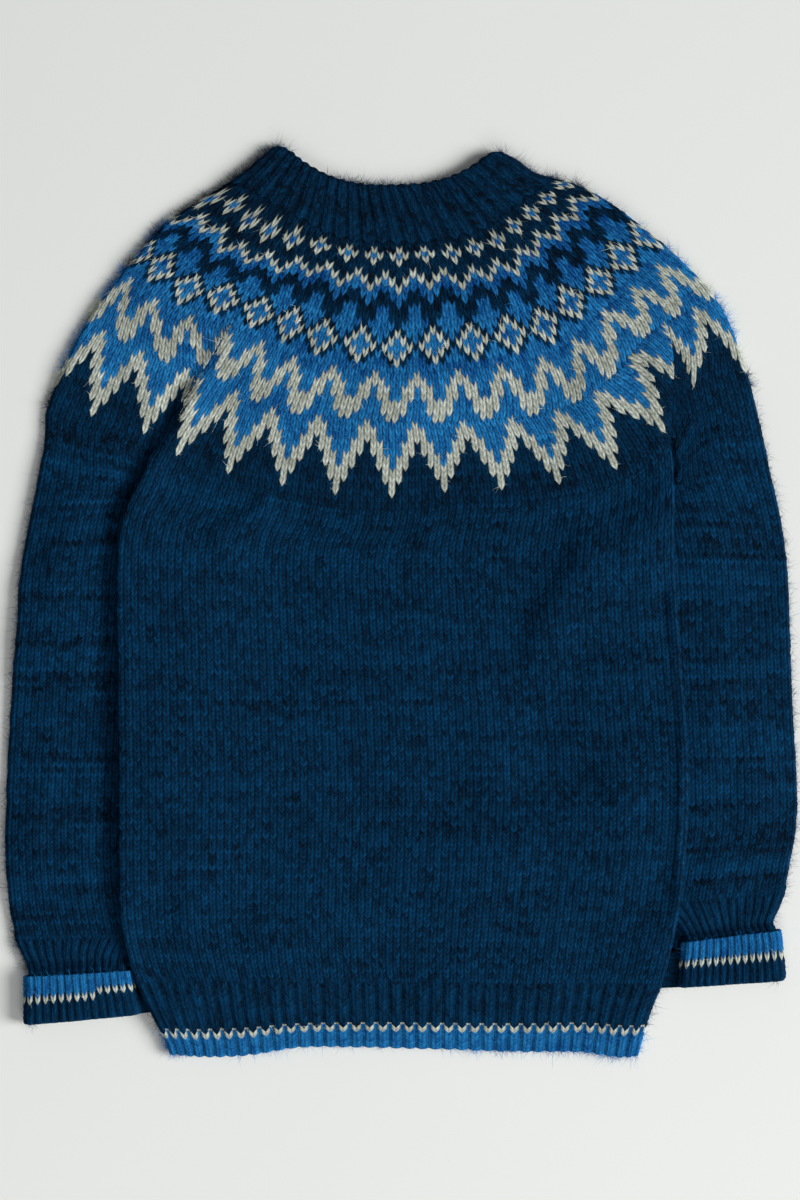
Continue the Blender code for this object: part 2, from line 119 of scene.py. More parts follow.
# Side folds: (left x, y, right x, y)
BODY_SIDES = (
    (149.5, 454, 671, 444), (144, 469, 672.5, 458), (138, 484, 673, 474),
    (130, 500, 673, 494), (123, 519, 672.5, 520), (118.5, 546, 672.5, 552),
    (117, 590, 675, 592), (117.5, 650, 679, 650), (118, 715, 684, 715),
    (119, 775, 687.5, 775), (119, 840, 686, 835), (119.5, 900, 680, 895),
    (122.5, 933, 674, 932), (130, 964, 666.5, 966), (137, 982, 661, 985))
HEM_SIDES = (
    (137, 982, 661, 985), (152, 1012, 650, 1010), (165, 1037, 642, 1034), (172, 1054, 636, 1056))
HEM_WAVE = ((0.0, 0), (0.1, -2), (0.2, 0), (0.29, 7), (0.42, 8.5), (0.55, 7), (0.75, 4),
            (0.88, 3.5), (0.95, -1), (1.0, 0))
# Sleeves and their ribbed ends: (outer fold x, y, inner fold x, y)
LEFT_SLEEVE = (
    (46, 412, 148, 454), (45, 438, 142.5, 468), (41.5, 462, 136, 481), (37, 487, 131, 493),
    (32, 511, 130.5, 506), (27.5, 533, 135, 526), (23, 557, 144, 550), (19.5, 585, 155, 580),
    (17.5, 622, 162, 620), (13.5, 670, 163, 670), (10, 725, 163, 725), (7, 790, 161, 788),
    (6, 850, 157.5, 846), (9, 900, 152, 895), (16.5, 941, 140, 938))
RIGHT_SLEEVE = (
    (751, 386, 672, 444), (757.5, 413, 674.5, 458), (764, 441, 675.5, 469),
    (770, 470, 672, 483), (777, 502, 665, 502), (783.5, 536, 655, 533),
    (788, 583, 647, 580), (790, 646, 643, 645),
    (792.5, 712, 643, 715), (796, 776, 645, 780), (796, 822, 649, 830), (790, 860, 656, 872),
    (784, 893, 663, 905))
LEFT_CUFF = (
    (16.5, 941, 140, 938), (23, 955, 130, 951), (28, 966, 127, 960), (29.5, 980, 127.5, 974),
    (29.5, 1020, 136, 1010))
RIGHT_CUFF = (
    (784, 893, 663, 905), (777, 910, 675, 920), (772, 922, 684, 933), (775.5, 934, 686, 945),
    (780, 976, 682, 983))
TURN_TOP = 2.8

# The body's side folds are lifted by the sleeves, from the join down to these heights in the
# picture: (y where the lift starts to fall, y where it ends). It rises over LIFT_RISE below
# the join, and inwards over LIFT_RAMP.
LEFT_LIFT = (960, 1040)
RIGHT_LIFT = (920, 1012)
LIFT_RISE = 72.0
LIFT_MARGIN = 17.0
LIFT_RAMP = 110.0

# Armhole creases: (x, y, share of the puff), from the yoke to below the underarm
LEFT_VALLEY = ((205, 345, 0.0), (193, 368, 0.35), (174, 405, 0.8), (149, 454, 1.0),
               (127, 503, 0.4), (119, 540, 0.0))
RIGHT_VALLEY = ((668, 322, 0.0), (672, 345, 0.35), (673.5, 380, 0.8), (672, 444, 1.0),
                (671, 500, 0.4), (672, 545, 0.0))
VALLEY_SPREAD = 13.0
# Ridges beside a crease: (place in spreads, towards the body, share of the puff)
VALLEY_RIDGES = ((1.1, 1.0), (-1.2, 0.5))
BODY_BOW_ROWS = 8.0
SLEEVE_BOW_ROWS = 6.0

# Numbers of stitches and ribs
BODY_ROWS = 94
LEFT_SLEEVE_ROWS = 101
RIGHT_SLEEVE_ROWS = 96
SLEEVE_STITCH = 7.0
# Stations over which a sleeve takes up its own number of stitches
SLEEVE_BLEND = 3.0
# Spare stitches of a sleeve before its outer fold, past its inner fold and all round
OUTER_SPARE = 2
INNER_SPARE = 3
ROUND_SPARE = 10
BODY_STITCHES = 152
HEM_RIBS = 39
NECK_RIBS = 24
CUFF_RIBS = 13
STITCHES_A_REPEAT = 8
# Ribbed stitches round each fold that have fine columns
FOLD_STITCHES = 3
# Stitches between two columns of the underside
YOKE_UNDER_STEP = 0.5
BODY_UNDER_STEP = 2.0
SLEEVE_UNDER_STEP = 1.0

# A stitch in the mesh: four columns wide, three lines high. Its legs slant by a row, and the
# lowest point of a stitch lies a little below its row's lower edge.
COLUMN = 0.25
LINE = 1 / 3
SLANT = 0.85
TIP_DROP = 0.25
LEG_HEIGHT = 0.0008
MIDDLE_GROOVE = 0.35
# A leg has this share of its height at its ends, and it is fullest below its middle
LEG_END = 0.4
LEG_LEAN = 0.7
# Height of a stitch as a share of LEG_HEIGHT, and how far it differs
STITCH_SIZE = 0.85
STITCH_SIZE_VARIES = 0.3
# Relief of the underside, which also sets its painted shade
UNDER_RELIEF = 0.5
PURL_HEIGHT = 0.0003
# A line of the mesh is tucked under the neighbour, so many rows past the join; the depths are
# that line's and the one's at the join
TUCK_ROWS = 0.9
TUCK_DEPTHS = (0.0009, 0.00024)
# The yoke in an armhole crease sinks, and its stitches there get painted shade
PLEAT_DEPTH = 0.0022
PLEAT_PAINTED_SHADE_RATE = 3.0
PLEAT_PAINTED_SHADE_MOST = 0.9
# Keeps a line that lies on a row's edge in that row
ROUND_OFF = 1e-6
# How far stitches wander from their even places, and the waves in which they do: (stitches,
# rows, share), each shifted against the one before
WANDER = 0.00028
RIB_WANDER = 0.00014
WANDER_WAVES = ((3.3, 2.7, 1.0), (1.1, 1.1, 0.6))
WANDER_SHIFT = 0.37
WANDER_SEED = 40
# Height of a rib under its stitches
RIB_RELIEF = 0.0008
RIDGE_ROUNDING = 0.7
# Darkest painted shade between two ribs and between two legs
RIB_DARKEST = 0.25
LEG_DARKEST = 0.3
# In ribbing a plain stitch takes this share of the width of a plain and a purled one
PLAIN_SHARE = 0.66
# Rows by which the cast-off edge stands out at a rib and back between two, and over which that
# fades out
EDGE_WAVE = 0.2
EDGE_WAVE_ROWS = 0.8
# Share of the hem's width over which it draws in from each side
HEM_DRAW = 0.14
# Share of the hem's width by which its plan goes on past each fold
HEM_BEYOND = 0.1
# The neckband's edges are pulled to its side folds by this power of the way out from the middle
NECK_PULL = 6

HEM_ROWS = 14
NECK_ROWS = 12
TURN_ROWS = 9
CUFF_ROWS_A_STATION = 2.6
# The cuff rises under its turned part: station where that starts, and stations that it takes
CUFF_RISE = (1.9, 0.8)
# Stations by which the sleeve end goes on under the turned part, row where the inside of its
# edge starts and row where its inner layer ends
TURN_LAP = 0.5
TURN_INSIDE_ROW = 1.5
TURN_END_ROW = 3.0
# Rows that an open edge's round takes, and rows that the wall goes on inside
RIM_ROWS = 0.35
INSIDE_ROWS = 3.0
# Angles in degrees of the lines round an open edge, and round the fold below a turned cuff
RIM_ANGLES = (-60.0, -30.0, 0.0, 30.0, 60.0)
RIM_END = 90.0
FOLD_ANGLES = (67.5, 45.0, 22.5, 0.0, -22.5, -45.0, -67.5)
# Colours of the striped ribbing, from a row on, counted downwards from the join or the edge
HEM_BANDS = ((-99, "b"), (-9, "c"), (-8, "n"))
# Where colours change, this part of a purled stitch shows the colour of the row below it
BUMP_PART = 0.3
# Past this turn in radians the tucked layer of a cuff is navy
TUCK_COLOUR_TURN = 1.5
CUFF_BANDS = ((-99, "n"), (-6, "c"), (-5, "b"))
# Column of the left cuff at which one round of knitting ends and the next begins
LEFT_JOG = 17.5
# The cuffs' lower layers reach under the body: side, 0 left or 1 right, pixels at each station
LEFT_TUCK = (1, (0, 0, 6, 14, 27))
RIGHT_TUCK = (0, (0, 8, 22, 31, 34))

# Creases of the top layer: start (x, y), end (x, y), half width on the left of a line that runs
# down (below one that runs right), half width on the other side, in picture pixels, and height
# in metres, less than 0 for a trough. The sides of the body also lie on the sleeves.
YOKE_CREASES = (
    (248, 292, 214, 340, 13, 13, -0.0012), (592, 250, 616, 300, 12, 12, -0.0013),
    (160, 262, 128, 330, 16, 16, 0.0012), (470, 300, 478, 372, 20, 20, 0.0009),
    (330, 352, 318, 430, 12, 24, -0.0010), (556, 352, 584, 430, 24, 12, -0.0012),
    (700, 250, 728, 330, 12, 12, -0.0011), (118, 352, 108, 402, 10, 10, -0.0014),
    (236, 318, 194, 394, 9, 34, 0.0034), (202, 382, 142, 480, 10, 38, 0.0038),
    (214, 346, 168, 414, 15, 8, -0.0028), (180, 392, 112, 510, 17, 9, -0.0040),
    (713, 388, 714, 580, 28, 44, 0.0042))
BODY_CREASES = (
    (592, 522, 530, 684, 20, 50, 0.0064), (270, 500, 208, 550, 13, 42, 0.0052),
    (650, 656, 584, 666, 7, 26, 0.0026), (592, 774, 634, 806, 10, 32, 0.0026),
    (682, 600, 678, 985, 5, 4, 0.0026), (644, 850, 620, 992, 44, 27, -0.0056),
    (667, 530, 668, 660, 18, 6, -0.0026), (652, 470, 648, 700, 12, 12, 0.0007),
    (136, 880, 192, 990, 34, 20, -0.0044), (500, 800, 505, 935, 90, 60, 0.0042),
    (158, 670, 160, 810, 20, 34, 0.0026), (240, 590, 430, 584, 16, 10, -0.0011),
    (330, 810, 500, 803, 16, 9, -0.0012), (128, 560, 130, 880, 7, 7, 0.0010),
    (330, 640, 430, 700, 24, 24, 0.0012), (400, 930, 560, 942, 14, 14, -0.0010),
    (424, 520, 412, 590, 12, 34, 0.0012), (248, 900, 300, 1000, 26, 14, 0.0014))
SLEEVE_CREASES = (
    (136, 462, 104, 540, 12, 9, -0.0034), (105, 512, 103, 740, 12, 9, -0.0030),
    (104, 700, 106, 935, 10, 8, -0.0026), (70, 470, 62, 640, 20, 12, 0.0018),
    (48, 690, 40, 900, 20, 12, 0.0020), (30, 560, 84, 545, 8, 14, -0.0012),
    (22, 744, 92, 736, 9, 14, -0.0012), (18, 905, 84, 884, 8, 14, -0.0015),
    (714, 560, 716, 880, 18, 40, 0.0018), (717, 840, 712, 935, 15, 30, 0.0030),
    (750, 690, 756, 870, 14, 24, 0.0015), (716, 596, 784, 588, 14, 8, -0.0012),
    (712, 800, 790, 812, 14, 9, -0.0013), (716, 884, 776, 880, 12, 8, -0.0012))
# A crease sways from its line by a share of its half width, in so many waves. It ends some
# pixels past its two points, and fades over a share of its length.
CREASE_SWAY = 0.3
CREASE_WAVES = 1.1
CREASE_END = 10.0
CREASE_FADE = 0.35
# Loose hairs of the wool: their width at the root, how far it differs and how much is lost
# along a hair, their mean lengths on top and at the outline, the longest one, and how far
# their tone differs from the yarn's
HAIR_WIDTH = 0.00019
HAIR_WIDTHS = (0.6, 1.3)
HAIR_TAPER = 0.6
HAIR_LENGTH = 0.0030
HAIR_LENGTH_EDGE = 0.0055
LONGEST_HAIR = 0.0090
HAIR_TONE = 0.3
# How steeply hairs rise at the outline and on top, how far they bend, and how far they droop
EDGE_RISE = (0.3, 1.4)
TOP_RISE = (0.05, 0.35)
HAIR_BEND = 0.35
HAIR_DROOP = 0.1
HAIR_DROOPS_MORE = 0.3
HAIR_CLEAR = 0.0003
# Roots lie on stitches' legs, where the relief and its painted shade are more than this, and on
# faces that look up more than the first value on top or less than the second at the outline
ROOT_RELIEF = 0.3
LOOKS_UP = 0.55
LOOKS_ASIDE = 0.5
LOWEST_ROOT = 0.0012
# Hairs at the outline start below this height: the top of a fold, or its middle on pieces
# whose creases are steep
TOP_OF_FOLD = 0.0068
MIDDLE_OF_FOLD = 0.0045
FUZZ_SEED = 700
# A hair's place in the map is random up to this many stitches
MAP_REACH = 90
# Broad unevenness of cloth that lies on a floor: (size in picture pixels, height in metres)
SWELLS = ((105.0, 0.0025), (46.0, 0.0012))
SWELL_SHIFT = 0.3
SWELL_SEED = 900
SWELL_RISE = 0.0010
# Troughs deeper than the first size flatten out, and are never deeper than both together,
# so that the top layer stays above the lower one
DEEP_TROUGH = 0.0030
DEEPER_TROUGH = 0.0019
# Rows over which the troughs fade out before an open edge
CALM_ROWS = 6.0

# Tone of the yarn: streaks along a row as (stitches, change from row to row, share), their
# strength in each piece, and how far each stitch and each of its legs differs
STREAKS = ((24, 1.0, 1.0), (15, 0.4, 0.8))
YOKE_STREAK = 0.12
BODY_STREAK = 0.085
SLEEVE_STREAK = 0.2
STITCH_TONE = 0.16
LEG_TONE = 0.2
# Ribbing: patches of a tone and long streaks as (columns, rows, strength), and how much darker
# hem and cuffs are
RIB_PATCHES = (1 / 1.9, 2.5, 0.2)
RIB_STREAKS = (20.0, 1.0, 0.08)
HEM_DARK = 0.02
CUFF_DARK = -0.05
# The navy yarn near the neck is darker: by how much, from which row and over how many
YOKE_TONE_FALL = 0.2
TONE_FALL_ROWS = (13, 16)
NECK_TONE_FALL = 0.14

# Seeds of the random values of each piece, and what is added for stitch sizes and for tones
YOKE_SIZE_SEED = 70
YOKE_TONE_SEED = 10
BODY_SEED = 100
LEFT_SLEEVE_SEED = 200
RIGHT_SLEEVE_SEED = 300
HEM_SEED = 400
NECK_SEED = 500
LEFT_CUFF_SEED = 600
RIGHT_CUFF_SEED = 650
SIZE_SEED = 30
TONE_SEED = 50
# Random values on each side of the tables of smooth noise and of single stitches
LATTICE = 256
CELLS = 512

# The pattern: n is navy, b is royal blue and c is cream. Each band: its first row, stitches
# a repeat, repeats by which its middle stitch stands off, then its rows from below.
CHART = (
    (-2, 8, 0.0, ("nnnnnnnn", "nnnnnnnn", "nnncnnnn", "nnncnnnn", "nncccnnn", "nncccnnn",
                  "nccbccnn", "nccbccnn", "ccbbbccn", "ccbbbccn", "cbbbbbcc", "cbbbbbcc",
                  "bbbbbbbc")),
    (11, 7, 0.5, ("cbbbbbc", "ccbbbcc", "ccbbbcc", "bccbccb", "bccbccb", "bbcccbb", "bbbcbbb")),
    (18, 6, 0.0, ("bbbbbb", "bncnbb", "ncbcnb", "cbbbcn", "ncbcnb", "bncnbb")),
    (24, 5, 0.0, ("bbnbb", "bnnnb", "bnnnb", "nnbnn", "nbbbn")),
    (29, 4, 0.0, ("bcbb", "cncb", "nnnc", "nnnn", "ncnn", "cbcn", "ncnn", "nnnn")),
)


def smooth_curve(knots, values, places):
    """Cubic curve through the values, whose slope at a knot is that of its neighbours."""
    knots = np.asarray(knots, float)
    values = np.asarray(values, float)
    places = np.asarray(places, float)
    slopes = np.gradient(values, knots, axis=0)
    index = np.clip(np.searchsorted(knots, places) - 1, 0, len(knots) - 2)
    span = knots[index + 1] - knots[index]
    share = (places - knots[index]) / span
    if values.ndim > 1:
        share = share[..., None]
        span = span[..., None]
    start = values[index] * (1 + 2 * share) * (1 - share) ** 2
    end = values[index + 1] * share**2 * (3 - 2 * share)
    leave = slopes[index] * span * share * (1 - share) ** 2
    arrive = slopes[index + 1] * span * share**2 * (share - 1)
    return start + end + leave + arrive


def smooth_between(knots, layers, places):
    """The same cubic curve, run once for each point: layer t holds every point at knot t."""
    knots = np.asarray(knots, float)
    slopes = np.gradient(layers, knots, axis=0)
    index = np.clip(np.searchsorted(knots, places) - 1, 0, len(knots) - 2)
    span = (knots[index + 1] - knots[index])[:, None]
    share = (places - knots[index])[:, None] / span
    every = np.arange(len(places))
    start = layers[index, every] * (1 + 2 * share) * (1 - share) ** 2
    end = layers[index + 1, every] * share**2 * (3 - 2 * share)
    leave = slopes[index, every] * span * share * (1 - share) ** 2
    arrive = slopes[index + 1, every] * span * share**2 * (share - 1)
    return start + end + leave + arrive


def soft_step(amount):
    """0 below 0, 1 above 1, and a smooth ramp between."""
    amount = np.clip(amount, 0.0, 1.0)
    return amount * amount * (3 - 2 * amount)


def lattice_noise(u, v, seed):
    """Smooth noise from -1 to 1: random values on a lattice, blended between its points."""
    table = np.random.default_rng(seed).uniform(-1.0, 1.0, (LATTICE, LATTICE))
    left = np.floor(u)
    low = np.floor(v)
    across = soft_step(u - left)
    up = soft_step(v - low)
    left = left.astype(int) % LATTICE
    low = low.astype(int) % LATTICE
    right = (left + 1) % LATTICE
    high = (low + 1) % LATTICE
    bottom = table[left, low] * (1 - across) + table[right, low] * across
    top = table[left, high] * (1 - across) + table[right, high] * across
    return bottom * (1 - up) + top * up


def cell_noise(column, row, seed):
    """One random value from -1 to 1 for each whole column and row."""
    table = np.random.default_rng(seed).uniform(-1.0, 1.0, (CELLS, CELLS))
    return table[np.floor(column).astype(int) % CELLS, np.floor(row).astype(int) % CELLS]


def to_plan(pixels):
    """Picture pixels to metres on the floor, with the garment's middle at the origin."""
    x = (pixels[..., 0] - PICTURE_MIDDLE[0]) * PIXEL
    y = (PICTURE_MIDDLE[1] - pixels[..., 1]) * PIXEL
    return np.stack([x, y], axis=-1)


def side_lift(pixels):
    """How far the body is raised by the sleeves under its side edges, in metres: nothing at the
    join to the yoke, and all of it a little below."""
    x = pixels[..., 0]
    y = pixels[..., 1]
    lift = np.zeros(x.shape)
    join = np.array([point[1:] for point in YOKE_ROWS[0][3]])
    below_join = soft_step((y - np.interp(x, join[:, 0], join[:, 1])) / LIFT_RISE)
    for table, span, side in ((LEFT_SLEEVE, LEFT_LIFT, 1), (RIGHT_SLEEVE, RIGHT_LIFT, -1)):
        inner = np.array([row[2:] for row in table])
        inner_x = np.interp(y, inner[:, 1], inner[:, 0])
        reach = side * (inner_x - x) + LIFT_MARGIN + LIFT_RAMP
        fall = soft_step((span[1] - y) / (span[1] - span[0]))
        lift = np.maximum(lift, BODY_LIFT * fall * soft_step(reach / LIFT_RAMP))
    return lift * below_join


def valley_puff(pixels):
    """The top layer stands up on both sides of an armhole crease and sinks into it."""
    puff = np.zeros(pixels.shape[:-1])
    for table, body_side in ((LEFT_VALLEY, 1), (RIGHT_VALLEY, -1)):
        table = np.array(table)
        crease_x = np.interp(pixels[..., 1], table[:, 1], table[:, 0])
        strength = np.interp(pixels[..., 1], table[:, 1], table[:, 2], left=0.0, right=0.0)
        away = body_side * (pixels[..., 0] - crease_x) / VALLEY_SPREAD
        for ridge, share in VALLEY_RIDGES:
            puff += strength * share * np.exp(-(away - ridge) ** 2)
    return CREASE_PUFF * puff


def creases(pixels, table):
    """Troughs and ridges of the top layer: each has a bell-shaped section, often steep on one
    side, fades out towards both of its ends, and adds to the broad unevenness."""
    x = pixels[..., 0]
    y = pixels[..., 1]
    height = np.full(x.shape, SWELL_RISE)
    for index, (size, amount) in enumerate(SWELLS):
        height += amount * lattice_noise(x / size + SWELL_SHIFT, y / size, SWELL_SEED + index)
    for start_x, start_y, end_x, end_y, width, other_width, amount in table:
        along = np.array([end_x - start_x, end_y - start_y], float)
        length = np.linalg.norm(along)
        along /= length
        place = (x - start_x) * along[0] + (y - start_y) * along[1]
        aside = (y - start_y) * along[0] - (x - start_x) * along[1]
        aside = aside + CREASE_SWAY * width * np.sin(2 * np.pi * CREASE_WAVES * place / length)
        fade = soft_step((place + CREASE_END) / (CREASE_FADE * length))
        fade = fade * soft_step((length + CREASE_END - place) / (CREASE_FADE * length))
        half = np.where(aside > 0, width, other_width)
        height += amount * fade * np.exp(-(aside / half) ** 2)
    excess = np.minimum(height + DEEP_TROUGH, 0.0)
    return height - excess + DEEPER_TROUGH * np.tanh(excess / DEEPER_TROUGH)


# Plans of the pieces


def yoke_tables():
    """For each yoke row: its stitch row, visible repeat numbers, points and right crease."""
    crease = np.array(RIGHT_CREASE)
    tables = []
    for row, hidden_left, hidden_right, points in YOKE_ROWS:
        points = np.array(points, float)
        visible = points[:, 0].copy()
        visible[points[:, 0] < LEFT_CREASE] += hidden_left
        visible[points[:, 0] > RIGHT_OF_CREASE] -= hidden_right
        right = np.interp(row, crease[:, 0], crease[:, 1])
        tables.append((row, visible, points[:, 1:], right))
    return tables


YOKE_TABLES = yoke_tables()
YOKE_KNOTS = np.array([table[0] for table in YOKE_TABLES])
YOKE_FIRST = np.array([table[1][0] for table in YOKE_TABLES])
YOKE_LAST = np.array([table[1][-1] for table in YOKE_TABLES])
YOKE_RIGHT = np.array([table[3] for table in YOKE_TABLES])


def hidden_repeats(row):
    """Repeats of the pattern that lie in the left and the right armhole crease."""
    table = np.array(HIDDEN)
    return np.interp(row, table[:, 0], table[:, 1]), np.interp(row, table[:, 0], table[:, 2])


def yoke_share(repeat, row):
    """Which part of the yoke a place lies in and where in it, and how deep in a crease.

    Part 0 is left of the left crease, 1 between the creases and 2 right of the right one. The
    repeats that a crease hides are all at the crease itself, and their depth is 0 at its lips
    and 1 at its bottom.
    """
    hidden_left, hidden_right = hidden_repeats(row)
    right = np.interp(row, YOKE_KNOTS, YOKE_RIGHT)
    first = np.interp(row, YOKE_KNOTS, YOKE_FIRST)
    last = np.interp(row, YOKE_KNOTS, YOKE_LAST)
    part = np.where(repeat < LEFT_CREASE - hidden_left, 0, 1)
    part = np.where(repeat > right + hidden_right, 2, part)
    share = np.clip((repeat - LEFT_CREASE) / (right - LEFT_CREASE), 0.0, 1.0)
    share = np.where(part == 0, (repeat + hidden_left - first) / (LEFT_CREASE - first), share)
    share = np.where(part == 2, (repeat - hidden_right - right) / (last - right), share)
    into_left = (LEFT_CREASE - repeat) / np.maximum(hidden_left, LEAST_HIDDEN)
    into_right = (repeat - right) / np.maximum(hidden_right, LEAST_HIDDEN)
    depth_left = np.clip(1 - np.abs(2 * into_left - 1), 0, 1) * np.minimum(hidden_left * 2, 1)
    depth_right = np.clip(1 - np.abs(2 * into_right - 1), 0, 1) * np.minimum(hidden_right * 2, 1)
    depth = np.where(part == 1, np.maximum(depth_left, depth_right), 0.0)
    return part, share, depth


def yoke_place(part, share, row):
    """Picture point of a share of a part of the yoke: along each table row, then up through them."""
    shape = np.broadcast(part, share, row).shape
    part = np.broadcast_to(part, shape).ravel()
    share = np.broadcast_to(share, shape).ravel()
    row = np.broadcast_to(row, shape).ravel()
    layers = []
    for _, visible, points, right in YOKE_TABLES:
        place = LEFT_CREASE + share * (right - LEFT_CREASE)
        place = np.where(part == 0, visible[0] + share * (LEFT_CREASE - visible[0]), place)
        place = np.where(part == 2, right + share * (visible[-1] - right), place)
        layers.append(smooth_curve(visible, points, place))
    return smooth_between(YOKE_KNOTS, np.array(layers), row).reshape(*shape, 2)


def blend_sides(left, right, across):
    """Points between two side folds."""
    return left * (1 - across[..., None]) + right * across[..., None]


def hanging_place(table, top, bow_rows, station, across):
    """A piece that hangs from the join: straight between its folds, plus a share of the bow of
    the join, which fades out over the first stations of its table."""
    table = np.array(table, float)
    sides = smooth_curve(np.arange(len(table)), table, station)
    ends = np.array([0.0, 1.0])
    first, last = top(ends)
    bow = top(across) - blend_sides(first, last, across)
    fade = 1 - soft_step(station / bow_rows)
    return blend_sides(sides[..., :2], sides[..., 2:], across) + bow * fade[..., None]


def even_stations(place, count, last, steps=400):
    """Stations of a table at which count rows are evenly tall along the middle of the piece."""
    fine = np.linspace(0.0, last, steps)
    middle = place(fine, np.full(fine.shape, 0.5))
    along = np.concatenate([[0.0], np.cumsum(np.linalg.norm(np.diff(middle, axis=0), axis=1))])
    return np.interp(np.linspace(0.0, along[-1], count + 1), along, fine)


# Knitted surfaces


def slant(column):
    """How far up a line of the mesh lies at a column: lowest in the middle of a stitch."""
    return SLANT * np.abs(2 * np.mod(column + 0.5, 1.0) - 1) - TIP_DROP


def leg_height(column, along, middle=MIDDLE_GROOVE):
    """Height of a stitch, 0 to 1: two round legs, a deep groove beside them and a shallow one
    between them; each leg is full in its lower part and low where the next row covers it."""
    x = np.mod(column + 0.5, 1.0)
    legs = 1 - (4 * np.abs(x - 0.5) - 1) ** 2
    between = middle * np.clip(1 - 4 * np.abs(x - 0.5), 0, 1)
    rounding = LEG_END + (1 - LEG_END) * np.sin(np.pi * np.clip(along, 0, 1) ** LEG_LEAN)
    return (legs + between) * rounding


def row_share(lines):
    """How far up its stitch row each line lies, from 0 to 1."""
    return np.mod(lines + ROUND_OFF, 1.0)[:, None]


def stitch_size(columns, rows, seed):
    """Height of each stitch as a share of LEG_HEIGHT."""
    differs = cell_noise(columns + 0.5 + 0 * rows, rows, seed)
    return STITCH_SIZE + STITCH_SIZE_VARIES * differs


def join_depths(count):
    """How far each line lies below the surface: only the two at the join to the neighbour do."""
    depths = np.zeros(count)
    depths[:2] = TUCK_DEPTHS
    return depths


def is_plain(column):
    """In ribbing every second stitch is plain and stands up; the others lie back."""
    return np.mod(np.floor(column + 0.5), 2) == 0


def rib_place(column):
    """Where a column of ribbing lies: the plain stitches spread over the purled ones."""
    middle = np.floor(column + 0.5)
    share = np.where(is_plain(column), PLAIN_SHARE, 1 - PLAIN_SHARE)
    return middle + (column - middle) * 2 * share


def rib_slant(column):
    """Only the plain stitches slant; the purled ones between them run level."""
    return np.where(is_plain(column), slant(column), SLANT - TIP_DROP)


def rib_height(column, along):
    """A rounded ridge at each plain stitch with its legs on it, and low bumps between."""
    ridge = rib_ridge(column)
    legs = LEG_HEIGHT * leg_height(column, along, 0.0) * is_plain(column)
    bumps = PURL_HEIGHT * np.sin(np.pi * along) ** 2 * (1 - ridge)
    return RIB_RELIEF * ridge + legs + bumps


def rib_ridge(column):
    """1 in the middle of a plain stitch, 0 in the middle of a purled one."""
    return (0.5 + 0.5 * np.cos(np.pi * column)) ** RIDGE_ROUNDING


